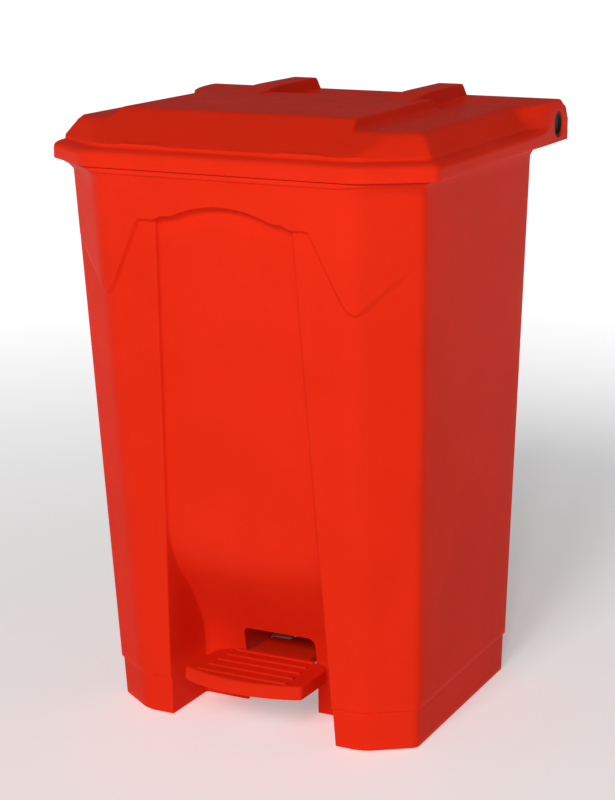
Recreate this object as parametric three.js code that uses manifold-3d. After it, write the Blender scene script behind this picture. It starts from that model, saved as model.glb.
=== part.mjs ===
// A step-on pedal bin in moulded plastic: a tapered tub on two feet, a hinged lid, and a pedal
// whose lever lifts the lid through a steel wire at the back.
//
// Millimetres, +Z up, front towards -Y, origin on the floor under the centre of the bounding box.
// Closed position: lid down on the rim, pedal up.
import * as THREE from "three";
import { mergeVertices } from "three/addons/utils/BufferGeometryUtils.js";
import Module from "manifold-3d";

const wasm = await Module();
wasm.setup();

// ---- Driving dimensions ----

const GAP = 0.3; // clearance between pieces that touch
const WALL = 3.5; // tub wall

const TUB = {
  top: 592, // where the rim flange starts
  frontY: -141.4, // front plane at the floor
  frontSlope: -0.0885, // y per mm of height
  sideX: 178.7, // half width at the floor
  sideSlope: 0.0315,
  frontHalf: 129.6, // half width of the flat front at the floor
  frontHalfSlope: 0.0142,
  cornerY: -107.5, // where the front chamfer meets the side, at the floor
  cornerSlope: -0.0698,
  rearY: 141.4,
  radii: [42, 10, 8], // front edge, chamfer's end, rear corner
  footTop: 44, // the foot ring below this height is set in
  footInset: 2.2,
  footSole: 12, // width of the sole that the tub stands on
  soleThickness: 4,
  floorUnder: 92,
  floorTop: 96,
};

const RIM = {
  bottom: 596,
  lipBottom: 594.4, // the flange is deeper across the front
  lipHalf: 150,
  lipRear: -150,
  top: 599.6,
  sideX: 202.4,
  frontY: -202.5,
  cornerY: -157,
  frontHalf: 146,
  rearY: 145,
  radii: [44, 12, 8],
};

const RECESS = { bottomHalf: 97.3, topHalf: 76, top: 550, archRise: 18 };
// The panel at the back of the recess, from the floor up: [height, y]. It leans forward over the
// pedal, then sweeps out to the front.
const PANEL = [
  [-5, -67.5],
  [40, -69],
  [62, -71.5],
  [83, -76],
  [106, -87],
  [124, -98],
  [148, -116],
  [170, -134.4],
  [186, -143.8],
  [203, -151.5],
  [225, -156],
  [260, -159],
  [320, -164],
  [400, -171],
  [560, -185],
];

const YOKE = { proud: 5, notchX: 96, notchZ: 550, tipX: 136, tipZ: 463, outerX: 215, outerZ: 545 };

const SLOT = { halfWidth: 43, top: 88, corner: 8 };
const REAR_NOTCH = { halfWidth: 36, top: 84, corner: 8 };

const HINGE = { y: 176.6, z: 619, pinRadius: 6, headRadius: 13.7, counterbore: 14, shelfX: 208 };
const EAR = { inner: 191, outer: 204.4, radius: 14 };

const LID = {
  bottom: 600,
  sideX: 214.2,
  frontY: -205,
  rearY: 205,
  sideRadius: 11, // where the chamfer meets the side
  cheekInner: 205,
  cheekFront: 146, // the cheeks that hold the hinge pins are thick behind this
  wall: 3,
  plateau: 643.3,
  crown: 645.3, // top of the roll over the hinge
};
const LID_PANEL = { left: -143, right: 118, top: 653, frontY: -139, rearY: 55 };
const HUMP = { inner: 73, outer: 105, top: 658, rampY: 30, crestY: 90, rearY: 172 };

const PEDAL_PIVOT = { y: 8, z: 40 };
const PEDAL_TILT = THREE.MathUtils.degToRad(3.9);
const TREAD = {
  top: 17.3,
  plate: 3.5,
  skirtBottom: 2.3,
  half: 69,
  tipU: -169.7,
  apexU: -186.6,
  shoulderU: -92,
  neckHalf: 36,
  neckEndU: -30,
};
const RIB = { count: 5, pitch: 19, half: 52, width: 8, height: 1.6, firstU: -170 };

const TREAD_SCREW = { stations: { front: -135, rear: -75 }, head: 4.5, headHeight: 2.4, length: 8, boss: 8 };
const GUIDE_SCREW = { head: 4, headHeight: 2.2, length: 9, pad: 7 };
const SHANK = 1.9; // radius of both screws
const BUSH = { sleeve: 7, collar: 10 };

const LEVER = { half: 25, sheet: 2.5, top: 10, flange: 9, frontU: -150, rearU: 166 };
const AXLE = { radius: 4, half: 62 };
// Two walls under the floor, from the recess's panel to the rear wall, carry the axle.
const CHANNEL = { inner: 51, outer: 55, bottomZ: 28, frontY: -90, rearY: 139 };

const WIRE = { radius: 3, legX: 86, bend: 7, endX: 106, bottomZ: 26 };
const LIFT_PIVOT = { y: 155.9, z: 601.6 };
const LIFT_LUG = { inner: 95, outer: 101, radius: 9 };
const GUIDE = {
  heights: [150, 480],
  tabX: 56,
  outerX: 100,
  y: 141.7,
  depth: 21.4,
  plate: 3.6,
  height: 16,
  screwX: 64,
  hoopWidth: 26,
  play: 1.2, // between the wire and the hoop, each side
};

// ---- Materials ----

const red = new THREE.MeshStandardMaterial({ color: 0xd82f1c, roughness: 0.42, metalness: 0 });
const black = new THREE.MeshStandardMaterial({ color: 0x111213, roughness: 0.5, metalness: 0 });
const steel = new THREE.MeshStandardMaterial({ color: 0xb4b7ba, roughness: 0.32, metalness: 1 });
const natural = new THREE.MeshStandardMaterial({ color: 0xdedbd0, roughness: 0.5, metalness: 0 });

// ---- Shape helpers ----

const v2 = (x, y) => new THREE.Vector2(x, y);

function solid(geometry) {
  const bare = geometry.index ? geometry.toNonIndexed() : geometry.clone();
  bare.deleteAttribute("normal");
  bare.deleteAttribute("uv");
  const merged = mergeVertices(bare, 1e-3);
  return new wasm.Manifold(
    new wasm.Mesh({
      numProp: 3,
      vertProperties: merged.attributes.position.array,
      triVerts: new Uint32Array(merged.index.array),
    }),
  );
}

function mesh(name, shape, material) {
  const data = shape.getMesh();
  const geometry = new THREE.BufferGeometry();
  geometry.setAttribute("position", new THREE.BufferAttribute(data.vertProperties, 3));
  geometry.setIndex(new THREE.BufferAttribute(data.triVerts, 1));
  geometry.computeVertexNormals();
  const made = new THREE.Mesh(geometry, material);
  made.name = name;
  return made;
}

const union = (...shapes) => shapes.reduce((a, b) => a.add(b));

// A closed outline whose corners are [x, y, radius, segments]; radius 0 keeps the corner sharp.
function rounded(corners) {
  const points = [];
  corners.forEach(([x, y, radius = 0, segments = 4], i) => {
    const at = v2(x, y);
    const before = v2(...corners.at(i - 1).slice(0, 2)).sub(at);
    const after = v2(...corners[(i + 1) % corners.length].slice(0, 2)).sub(at);
    if (!radius) {
      points.push(at);
      return;
    }
    before.normalize();
    after.normalize();
    const half = Math.acos(THREE.MathUtils.clamp(before.dot(after), -1, 1)) / 2;
    const reach = radius / Math.tan(half);
    const centre = before.clone().add(after).normalize().multiplyScalar(radius / Math.sin(half)).add(at);
    const start = before.multiplyScalar(reach).add(at).sub(centre);
    const end = after.multiplyScalar(reach).add(at).sub(centre);
    const sweep = Math.atan2(start.cross(end), start.dot(end));
    for (let k = 0; k <= segments; k++) {
      points.push(start.clone().rotateAround(v2(0, 0), (sweep * k) / segments).add(centre));
    }
  });
  return points;
}

// A closed skin over rings of [points, z], bottom ring first, all with the same number of points.
function loft(rings) {
  const count = rings[0][0].length;
  const position = rings.flatMap(([points, z]) => points.flatMap((p) => [p.x, p.y, z]));
  const index = [];
  for (let r = 0; r + 1 < rings.length; r++) {
    for (let i = 0; i < count; i++) {
      const a = r * count + i;
      const b = r * count + ((i + 1) % count);
      index.push(a, b, b + count, a, b + count, a + count);
    }
  }
  const cap = (ring, offset, flip) => {
    for (const [a, b, c] of THREE.ShapeUtils.triangulateShape(ring, [])) {
      index.push(a + offset, (flip ? c : b) + offset, (flip ? b : c) + offset);
    }
  };
  cap(rings[0][0], 0, true);
  cap(rings.at(-1)[0], (rings.length - 1) * count, false);
  const geometry = new THREE.BufferGeometry();
  geometry.setAttribute("position", new THREE.Float32BufferAttribute(position, 3));
  geometry.setIndex(index);
  return solid(geometry);
}

function extrude(points, depth, holes = []) {
  const shape = new THREE.Shape(points);
  shape.holes = holes.map((hole) => new THREE.Path(hole));
  return new THREE.ExtrudeGeometry(shape, { depth, bevelEnabled: false, curveSegments: 8 });
}

// An outline in (y, z), drawn along X from x0 to x1.
function alongX(points, x0, x1, holes) {
  const turn = new THREE.Matrix4().set(0, 0, 1, x0, 1, 0, 0, 0, 0, 1, 0, 0, 0, 0, 0, 1);
  return solid(extrude(points, x1 - x0, holes).applyMatrix4(turn));
}

// An outline in (x, z), drawn along Y from y0 to y1.
function alongY(points, y0, y1, holes) {
  return solid(extrude(points, y1 - y0, holes).rotateX(Math.PI / 2).translate(0, y1, 0));
}

// An outline in (x, y), drawn along Z from z0 to z1.
function alongZ(points, z0, z1, holes) {
  return solid(extrude(points, z1 - z0, holes).translate(0, 0, z0));
}

function box(x0, x1, y0, y1, z0, z1) {
  const geometry = new THREE.BoxGeometry(x1 - x0, y1 - y0, z1 - z0);
  return solid(geometry.translate((x0 + x1) / 2, (y0 + y1) / 2, (z0 + z1) / 2));
}

function rodX(x0, x1, y, z, radius, sides = 24) {
  const geometry = new THREE.CylinderGeometry(radius, radius, x1 - x0, sides).rotateZ(Math.PI / 2);
  return solid(geometry.translate((x0 + x1) / 2, y, z));
}

function rodY(y0, y1, x, z, radius, sides = 20) {
  const geometry = new THREE.CylinderGeometry(radius, radius, y1 - y0, sides);
  return solid(geometry.translate(x, (y0 + y1) / 2, z));
}

function rodZ(z0, z1, x, y, radius, sides = 20) {
  const geometry = new THREE.CylinderGeometry(radius, radius, z1 - z0, sides).rotateX(Math.PI / 2);
  return solid(geometry.translate(x, y, (z0 + z1) / 2));
}

function circle(y, z, radius, segments = 20) {
  return Array.from({ length: segments }, (_, i) => {
    const angle = (2 * Math.PI * i) / segments;
    return v2(y + radius * Math.cos(angle), z + radius * Math.sin(angle));
  });
}

const mirrored = (shape) => shape.mirror([1, 0, 0]);

// A profile of [radius, along] turned about the X axis, starting and ending on the axis.
function turnedX(profile, sides = 24) {
  const geometry = new THREE.LatheGeometry(profile.map(([r, a]) => v2(r, a)), sides);
  return solid(geometry.rotateZ(-Math.PI / 2));
}

// ---- Tub ----

const atHeight = (z) => ({
  front: TUB.frontY + TUB.frontSlope * z,
  side: TUB.sideX + TUB.sideSlope * z,
  half: TUB.frontHalf + TUB.frontHalfSlope * z,
  corner: TUB.cornerY + TUB.cornerSlope * z,
});

// The tub's outline at a height, moved in by inset. The yoke stands proud of the front.
function tubOutline(z, inset = 0, proud = 0) {
  const { front, side, half, corner } = atHeight(z);
  const chamfer = Math.atan2(corner - front, side - half);
  const shift = inset * Math.tan((Math.PI / 2 - chamfer) / 2);
  const frontIn = half - inset * Math.tan(chamfer / 2);
  const r = (radius) => Math.max(radius - inset, 1.5);
  const right = [
    [frontIn, front + inset - proud, r(TUB.radii[0]), 6],
    [side - inset, corner + shift, r(TUB.radii[1]), 4],
    [side - inset, TUB.rearY - inset, r(TUB.radii[2]), 4],
  ];
  const left = right.map(([x, ...rest]) => [-x, ...rest]).reverse();
  return rounded([...right, ...left]);
}

function tubLoft(z0, z1, inset, steps = 6) {
  const rings = [];
  for (let i = 0; i <= steps; i++) {
    const z = z0 + ((z1 - z0) * i) / steps;
    rings.push([tubOutline(z, inset), z]);
  }
  return loft(rings);
}

const panelCurve = new THREE.SplineCurve(PANEL.map(([z, y]) => v2(y, z)));

// The space of the front recess, grown by the wall thickness for the tub's inner skin.
function recessSpace(grow = 0) {
  const { bottomHalf, topHalf, top, archRise } = RECESS;
  const radius = (topHalf ** 2 + archRise ** 2) / (2 * archRise);
  const sweep = Math.asin(topHalf / radius);
  const outline = [v2(-bottomHalf - grow, -5), v2(bottomHalf + grow, -5)];
  for (let i = 0; i <= 16; i++) {
    const angle = sweep * (1 - i / 8);
    const x = (radius + grow) * Math.sin(angle);
    outline.push(v2(x, top + archRise - radius + (radius + grow) * Math.cos(angle)));
  }
  const profile = panelCurve.getPoints(28).map((p) => v2(p.x + grow, p.y));
  const reach = RECESS.top + archRise + 20;
  const side = [v2(-320, -5), ...profile, v2(PANEL.at(-1)[1] - 1.5 + grow, reach), v2(-320, reach)];
  return alongY(outline, -320, 0).intersect(alongX(side, -160, 160));
}

// The proud upper part of the front: its lower edge arches over the recess and drops to a point
// beside each front corner.
function yoke() {
  const { notchX, notchZ, tipX, tipZ, outerX, outerZ, proud } = YOKE;
  const half = [v2(notchX, notchZ), v2(tipX, tipZ), v2(outerX, outerZ), v2(outerX, TUB.top + 4)];
  const other = half.map((p) => v2(-p.x, p.y)).reverse();
  const front = alongY([...half, ...other], -320, -60);
  const rings = [455, 500, 550, TUB.top + 2].map((z) => [tubOutline(z, 0, proud), z]);
  return loft(rings).intersect(front);
}

function rimOutline(inset = 0) {
  const right = [
    [RIM.frontHalf, RIM.frontY + inset, RIM.radii[0] - inset, 6],
    [RIM.sideX - inset, RIM.cornerY, RIM.radii[1] - inset, 5],
    [RIM.sideX - inset, RIM.rearY - inset, RIM.radii[2], 4],
  ];
  const left = right.map(([x, ...rest]) => [-x, ...rest]).reverse();
  return rounded([...right, ...left]);
}

// The flange under the lid, with a deeper lip across the front.
function rim() {
  const flange = loft([
    [rimOutline(1.2), RIM.bottom - 1],
    [rimOutline(0), RIM.bottom],
    [rimOutline(0), RIM.top - 1],
    [rimOutline(1), RIM.top],
  ]);
  const lip = loft([
    [rimOutline(1.2), RIM.lipBottom],
    [rimOutline(0), RIM.lipBottom + 1],
    [rimOutline(0), RIM.top - 1],
  ]);
  const front = box(-RIM.lipHalf, RIM.lipHalf, -300, RIM.lipRear, RIM.lipBottom - 5, RIM.top);
  return union(flange, lip.intersect(front));
}

function roundTopped(halfWidth, top, corner) {
  return rounded([
    [-halfWidth, -10],
    [halfWidth, -10],
    [halfWidth, top, corner, 5],
    [-halfWidth, top, corner, 5],
  ]);
}

// One hinge ear on the back of the tub, at +X.
function ear() {
  const { y, z } = HINGE;
  const arm = [v2(120, 586), v2(141.4, 590), v2(147, 597), v2(y - 9, z - 12), v2(y, z), v2(y - 9, z + 10)];
  arm.push(v2(155, 622), v2(147, 611), v2(142, 604), v2(142, 598), v2(120, 598));
  return union(rodX(EAR.inner, EAR.outer, y, z, EAR.radius, 28), alongX(arm, EAR.inner, EAR.outer));
}

// One wall of the pedal's channel under the floor, at +X. The axle passes through it.
function channelWall() {
  const { inner, outer, bottomZ, frontY, rearY } = CHANNEL;
  const { y, z } = PEDAL_PIVOT;
  const bore = rodX(inner - 1, outer + 1, y, z, AXLE.radius + GAP);
  const wall = box(inner, outer, frontY, rearY, bottomZ, TUB.floorUnder + 2);
  return wall.subtract(recessSpace(WALL / 2)).subtract(bore);
}

function tub() {
  const { footTop, footInset, soleThickness, footSole, floorUnder, floorTop, top } = TUB;
  const outer = union(
    tubLoft(0, footTop, footInset, 1),
    tubLoft(footTop, top + 1, 0, 8),
    rim(),
    yoke(),
  );
  const thin = WALL + footInset;
  const under = union(
    tubLoft(-2, soleThickness, footSole, 1),
    tubLoft(soleThickness, footTop, thin, 1),
    tubLoft(footTop - 1, floorUnder, thin, 1),
  ).subtract(recessSpace(WALL));
  const inside = tubLoft(floorTop, RIM.top + 10, WALL, 8).subtract(recessSpace(WALL));
  let body = outer.subtract(recessSpace()).subtract(under).subtract(inside);
  const ears = union(ear(), mirrored(ear()));
  const walls = union(channelWall(), mirrored(channelWall()));
  const pads = GUIDE.heights.flatMap((z) =>
    [1, -1].map((side) => rodY(TUB.rearY - 9, TUB.rearY - 1, side * GUIDE.screwX, z, GUIDE_SCREW.pad)),
  );
  body = union(body, ears, walls, ...pads);
  const slot = alongY(roundTopped(SLOT.halfWidth, SLOT.top, SLOT.corner), -140, -40);
  const notch = alongY(roundTopped(REAR_NOTCH.halfWidth, REAR_NOTCH.top, REAR_NOTCH.corner), 110, 160);
  const bores = [1, -1].map((side) =>
    rodX(...[side * 180, side * 210].sort((a, b) => a - b), HINGE.y, HINGE.z, HINGE.pinRadius + GAP),
  );
  const screwHoles = GUIDE.heights.flatMap((z) =>
    [1, -1].map((side) => rodY(TUB.rearY - 7, TUB.rearY + 2, side * GUIDE.screwX, z, SHANK + GAP, 12)),
  );
  return [slot, notch, ...bores, ...screwHoles].reduce((a, b) => a.subtract(b), body);
}

// ---- Lid ----

// An outline of the lid: half width, front, chamfer end on the side, half width of the flat front.
function lidOutline(side, front, corner, half, rear, radius = 30) {
  const right = [
    [half, front, radius, 6],
    [side, corner, LID.sideRadius, 4],
    [side, rear, 2, 2],
  ];
  const left = right.map(([x, ...rest]) => [-x, ...rest]).reverse();
  return rounded([...right, ...left]);
}

// Skirt, brim and dome; inset by the wall for the inner skin.
function lidShell(t = 0) {
  const rear = t ? LID.cheekFront : HINGE.y;
  const skirt = (inset, z) => {
    const d = inset + t;
    return [lidOutline(LID.sideX - d, LID.frontY + d, -158.6 + d * 0.4, 150 - d * 0.3, rear, 44 - d), z - t];
  };
  const dome = (side, front, corner, half, radius, z) => {
    return [lidOutline(side - t, front + t, corner + t * 0.4, half - t * 0.3, rear, radius), z - t];
  };
  const start = t ? [skirt(0, LID.bottom - 2 + t)] : [skirt(0.8, LID.bottom), skirt(0, LID.bottom + 1)];
  return loft([
    ...start,
    skirt(0.3, 612.5),
    skirt(1.6, 615.2),
    skirt(4, 617),
    skirt(9, 618.8),
    dome(203.4, -195, -152.3, 143, 38, 619.6),
    dome(203, -194.6, -152, 143, 38, 622.6),
    dome(201.4, -191, -149.6, 144, 36, 625),
    dome(190.5, -157.2, -141, 166, 20, 641.6),
    dome(189, -153, -138.4, 168, 16, LID.plateau),
  ]);
}

// The roll over the hinge, from one cheek to the other.
function hingeRoll(t = 0, x = LID.sideX) {
  const bottom = t ? LID.bottom - 2 : LID.bottom;
  const outline = rounded([
    [140, bottom],
    [LID.rearY - t, bottom],
    [LID.rearY - t, LID.crown - t, 24 - t, 8],
    [160, LID.crown - t, 30, 3],
    [128 + 2 * t, LID.plateau - 6 - t],
  ]);
  return alongX(outline, -x, x);
}

// The raised panel, a little off centre. Its front face carries on from the lid's front slope.
function lidPanel(t = 0) {
  const { left, right, top, frontY, rearY } = LID_PANEL;
  const foot = 622;
  const profile = [
    v2(-195 + 2 * t, foot - t),
    v2(frontY - 3 + t, top - 1.5 - t),
    v2(frontY + 1 + t, top - t),
    v2(rearY - 2 - t, top - t),
    v2(rearY + 2 - t, LID.plateau - 4 - t),
    v2(rearY - t, foot - t),
  ];
  const flare = 6; // each side leans out by this much
  const front = [v2(left - flare + t, foot - 4), v2(right + flare - t, foot - 4)];
  front.push(v2(right - t, top + 2), v2(left + t, top + 2));
  return alongX(profile, -LID.sideX, LID.sideX).intersect(alongY(front, -230, 120));
}

// One hump at the back, which houses the top of the lifting wire.
function hump(side, t = 0) {
  const { inner, outer, top, rampY, crestY, rearY } = HUMP;
  const profile = rounded([
    [rampY + t, LID.plateau - 12 - t],
    [rearY + 8 - t, LID.plateau - 12 - t],
    [rearY - t, top - t, 8, 4],
    [crestY, top - t, 60, 4],
    [rampY + t, LID_PANEL.top - 1 - t],
  ]);
  const x = [side * (inner + t), side * (outer - t)].sort((a, b) => a - b);
  return alongX(profile, ...x);
}

// One lug inside the lid that carries the lifting wire's end, at +X.
function liftLug() {
  const { y, z } = LIFT_PIVOT;
  const { inner, outer, radius } = LIFT_LUG;
  const top = HUMP.top - 1;
  const outline = [v2(y - radius, z), v2(y + radius, z), v2(y + 20, 635), v2(y + 14, top), v2(y - radius, top)];
  return union(rodX(inner, outer, y, z, radius, 24), alongX(outline, inner, outer));
}

// Ribs inside the skirt that rest on the tub's rim, at +X.
function restRibs() {
  const { bottom, frontY, sideX } = LID;
  const front = box(108, 111, frontY + 1, frontY + 16, bottom, 616);
  const along = [-90, 20, 110].map((y) => box(sideX - 16, sideX - 1, y, y + 3, bottom, 616));
  return union(front, ...along);
}

function lid() {
  const outer = union(lidShell(), hingeRoll(), lidPanel(), hump(1), hump(-1));
  const t = LID.wall;
  const inner = union(lidShell(t), hingeRoll(t, LID.cheekInner), lidPanel(t), hump(1, t), hump(-1, t));
  const rests = restRibs();
  const below = box(-110, 110, 140, 180, 590, LID.bottom + 1);
  const inside = union(liftLug(), mirrored(liftLug()), rests, mirrored(rests)).intersect(outer.add(below));
  const bushBores = [1, -1].map((side) =>
    rodX(...[side * 90, side * 110].sort((a, b) => a - b), LIFT_PIVOT.y, LIFT_PIVOT.z, 5 + GAP),
  );
  const pinBores = [1, -1].flatMap((side) => [
    rodX(...[side * 200, side * 220].sort((a, b) => a - b), HINGE.y, HINGE.z, HINGE.pinRadius + GAP),
    rodX(...[side * HINGE.shelfX, side * 220].sort((a, b) => a - b), HINGE.y, HINGE.z, HINGE.counterbore, 36),
  ]);
  const shell = outer.subtract(inner).add(inside);
  return [...bushBores, ...pinBores].reduce((a, b) => a.subtract(b), shell);
}

// ---- Hinge pins ----

// A push-in pin, its head sunk in the lid's cheek; +X side.
function hingePin() {
  const { pinRadius, headRadius, shelfX } = HINGE;
  const inner = 187 - shelfX;
  const pin = turnedX([
    [0, inner],
    [pinRadius - 1.5, inner],
    [pinRadius, inner + 2],
    [pinRadius, GAP],
    [headRadius, GAP],
    [headRadius, 3.4],
    [headRadius - 1, 4.4],
    [0, 4.4],
  ]);
  return pin;
}

// ---- Pedal ----

// The tread's outline in (x, u): u runs back along the lever from the pivot.
function treadOutline(inset = 0, half = TREAD.half) {
  const { tipU, apexU, shoulderU, neckHalf, neckEndU } = TREAD;
  const sagitta = tipU - apexU;
  const radius = (half ** 2 + sagitta ** 2) / (2 * sagitta) - inset;
  const centreU = apexU + inset + radius;
  const sweep = Math.asin((half - inset) / radius);
  const arc = [];
  for (let i = 0; i <= 14; i++) {
    const angle = sweep * (i / 7 - 1);
    arc.push(v2(radius * Math.sin(angle), centreU - radius * Math.cos(angle)));
  }
  const neck = neckHalf - inset;
  return [
    ...arc,
    v2(half - inset - 2, shoulderU - 14 - inset),
    v2(half - inset - 12, shoulderU - inset),
    v2(neck, shoulderU - inset),
    v2(neck, neckEndU - inset),
    v2(-neck, neckEndU - inset),
    v2(-neck, shoulderU - inset),
    v2(-half + inset + 12, shoulderU - inset),
    v2(-half + inset + 2, shoulderU - 14 - inset),
  ];
}

function pedalTread() {
  const { top, plate, skirtBottom } = TREAD;
  const shell = alongZ(treadOutline(), skirtBottom, top)
    .subtract(alongZ(treadOutline(3), skirtBottom - 1, top - plate))
    .subtract(box(-TREAD.neckHalf - 5, TREAD.neckHalf + 5, TREAD.shoulderU + 6, 0, -5, LEVER.top + GAP))
    .subtract(box(-LEVER.half - 1, LEVER.half + 1, TREAD.shoulderU - 8, 0, -5, LEVER.top + GAP));
  const stations = Object.values(TREAD_SCREW.stations);
  const bosses = stations.map((u) => rodZ(LEVER.top + GAP, top - 1, 0, u, TREAD_SCREW.boss));
  const rests = [-22, 22].map((x) => box(x - 1.5, x + 1.5, -148, -40, LEVER.top + GAP, top - 1));
  const ribs = [];
  for (let i = 0; i < RIB.count; i++) {
    const u = RIB.firstU + i * RIB.pitch;
    const half = RIB.half - 1.5 * i;
    const w = RIB.width / 2;
    const section = [v2(u - w, top - 0.5), v2(u + w, top - 0.5), v2(u + w - 2, top + RIB.height)];
    section.push(v2(u - w + 2, top + RIB.height));
    ribs.push(alongX(section, -half, half));
  }
  const holes = stations.map((u) => rodZ(0, top - 2, 0, u, SHANK + GAP, 12));
  return holes.reduce((a, b) => a.subtract(b), union(shell, ...bosses, ...rests, ...ribs));
}

// The pressed steel lever: a channel whose flanges widen into a fork at the back.
function pedalLever() {
  const { half, sheet, top, flange, frontU, rearU } = LEVER;
  const plate = box(-half, half, frontU, 118, top - sheet, top);
  const side = [
    v2(frontU, top),
    v2(frontU, top - 6),
    v2(-60, -flange),
    v2(rearU - 40, -flange - 4),
    v2(rearU - 2, -flange - 5),
    v2(rearU, -flange - 3),
    v2(rearU, -8.6),
    v2(137, -8.6),
    v2(134, -6),
    v2(134, -2),
    v2(137, 0.8),
    v2(rearU, 0.8),
    v2(rearU, 5),
    v2(rearU - 4, top - 2),
    v2(118, top),
  ];
  const bore = circle(0, 0, BUSH.sleeve + GAP, 24);
  const flanges = [half - sheet, -half].map((x) => alongX(side, x, x + sheet, [bore]));
  const stations = Object.values(TREAD_SCREW.stations);
  const holes = stations.map((u) => rodZ(top - 4, top + 4, 0, u, SHANK + 2 * GAP, 12));
  return holes.reduce((a, b) => a.subtract(b), union(plate, ...flanges));
}

// A screw from below: pan head under the lever, shank up into the tread. Head at the bottom.
function screw({ head, headHeight, length }) {
  const profile = [
    v2(0, 0),
    v2(head - 0.8, 0),
    v2(head, 0.8),
    v2(head, headHeight),
    v2(SHANK, headHeight),
    v2(SHANK, headHeight + length - 1),
    v2(0, headHeight + length),
  ];
  const geometry = new THREE.LatheGeometry(profile, 16).rotateX(Math.PI / 2);
  const recess = new THREE.CylinderGeometry(1.6, 1.6, 3, 6).rotateX(Math.PI / 2);
  return solid(geometry).subtract(solid(recess));
}

// A flanged bush that spaces the lever from a lug and turns on the axle; +X side.
function leverBush() {
  const start = LEVER.half - LEVER.sheet - 1;
  const end = CHANNEL.inner - GAP;
  const sleeve = rodX(start, end, 0, 0, BUSH.sleeve, 24);
  const collar = rodX(LEVER.half + GAP, end, 0, 0, BUSH.collar, 24);
  return union(sleeve, collar).subtract(rodX(start - 1, end + 1, 0, 0, AXLE.radius + GAP / 2, 24));
}

// A sprung retaining cap pushed on a shaft end; its dome faces +X.
function shaftClip(boreRadius, outerRadius) {
  const profile = [
    v2(boreRadius, 0),
    v2(outerRadius, 0),
    v2(outerRadius, 0.8),
    v2(boreRadius + 2, 2.4),
    v2(boreRadius, 2.4),
    v2(boreRadius, 0),
  ];
  return solid(new THREE.LatheGeometry(profile, 20).rotateZ(-Math.PI / 2));
}

// ---- Lifting wire and its fittings ----

// A bent wire whose stations sit close together round its bends and far apart on its legs.
class WireCurve extends THREE.Curve {
  constructor(stations) {
    super();
    this.stations = stations;
  }
  getPoint(t, target = new THREE.Vector3()) {
    const at = t * (this.stations.length - 1);
    const i = Math.min(Math.floor(at), this.stations.length - 2);
    return target.lerpVectors(this.stations[i], this.stations[i + 1], at - i);
  }
  getPointAt(u, target) {
    return this.getPoint(u, target);
  }
  getTangentAt(u, target = new THREE.Vector3()) {
    const last = this.stations.length - 1;
    const i = Math.round(u * last);
    const before = this.stations[Math.max(i - 1, 0)];
    const after = this.stations[Math.min(i + 1, last)];
    return target.subVectors(after, before).normalize();
  }
}

// The wire runs from one lid lug in, down the back of the tub, across through the lever's fork,
// and up to the other lug.
function liftWire() {
  const { radius, legX, bend, endX, bottomZ } = WIRE;
  const { y, z } = LIFT_PIVOT;
  const corners = [
    [endX, z],
    [legX, z],
    [legX, bottomZ],
    [-legX, bottomZ],
    [-legX, z],
    [-endX, z],
  ];
  const stations = [];
  corners.forEach(([x, height], i) => {
    const at = new THREE.Vector3(x, y, height);
    if (i === 0 || i === corners.length - 1) {
      stations.push(at);
      return;
    }
    const towards = (k) => new THREE.Vector3(corners[k][0], y, corners[k][1]).sub(at).normalize();
    const start = towards(i - 1).multiplyScalar(bend).add(at);
    const end = towards(i + 1).multiplyScalar(bend).add(at);
    const arc = new THREE.QuadraticBezierCurve3(start, at, end);
    stations.push(...arc.getPoints(6));
  });
  const section = new THREE.Shape(circle(0, 0, radius, 12));
  const steps = stations.length - 1;
  const path = new WireCurve(stations);
  return solid(new THREE.ExtrudeGeometry(section, { steps, extrudePath: path, bevelEnabled: false }));
}

// A bush in a lid lug; the flange faces the wire's leg; +X side.
function liftBush() {
  const { inner, outer } = LIFT_LUG;
  const { y, z } = LIFT_PIVOT;
  const sleeve = rodX(inner - GAP - 1, outer + 0.4, y, z, 5, 20);
  const flange = rodX(inner - GAP - 1.2, inner - GAP, y, z, 7.5, 20);
  return union(sleeve, flange).subtract(rodX(inner - 4, outer + 4, y, z, WIRE.radius + GAP, 20));
}

// A guide on the back of the tub that one leg of the wire slides through; +X side.
function wireGuide(z) {
  const { tabX, outerX, y, depth, plate, height, hoopWidth, play } = GUIDE;
  const back = y + depth;
  const outline = rounded([
    [tabX, y],
    [outerX, y],
    [outerX, back, 6, 4],
    [outerX - hoopWidth, back, 6, 4],
    [outerX - hoopWidth - 2, y + plate],
    [tabX, y + plate],
  ]);
  const half = WIRE.radius + play;
  const window = rounded([
    [WIRE.legX - half, y + plate, 2, 2],
    [WIRE.legX - half, back - 3.4, 3, 3],
    [WIRE.legX + half, back - 3.4, 3, 3],
    [WIRE.legX + half, y + plate, 2, 2],
  ]);
  const hoop = alongZ(outline, z - height / 2, z + height / 2, [window]);
  return hoop.subtract(rodY(y - 1, y + 8, GUIDE.screwX, z, SHANK + GAP, 12));
}

// ---- Assembly ----

const part = new THREE.Group();
part.add(mesh("body", tub(), red));
part.add(mesh("lid", lid(), red));

const sides = [
  ["left", -1],
  ["right", 1],
];
const onSide = (shape, side) => (side < 0 ? mirrored(shape) : shape);

for (const [name, side] of sides) {
  const pin = mesh(`hinge_pin_${name}`, onSide(hingePin(), side), black);
  pin.position.set(side * HINGE.shelfX, HINGE.y, HINGE.z);
  part.add(pin);
}

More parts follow.
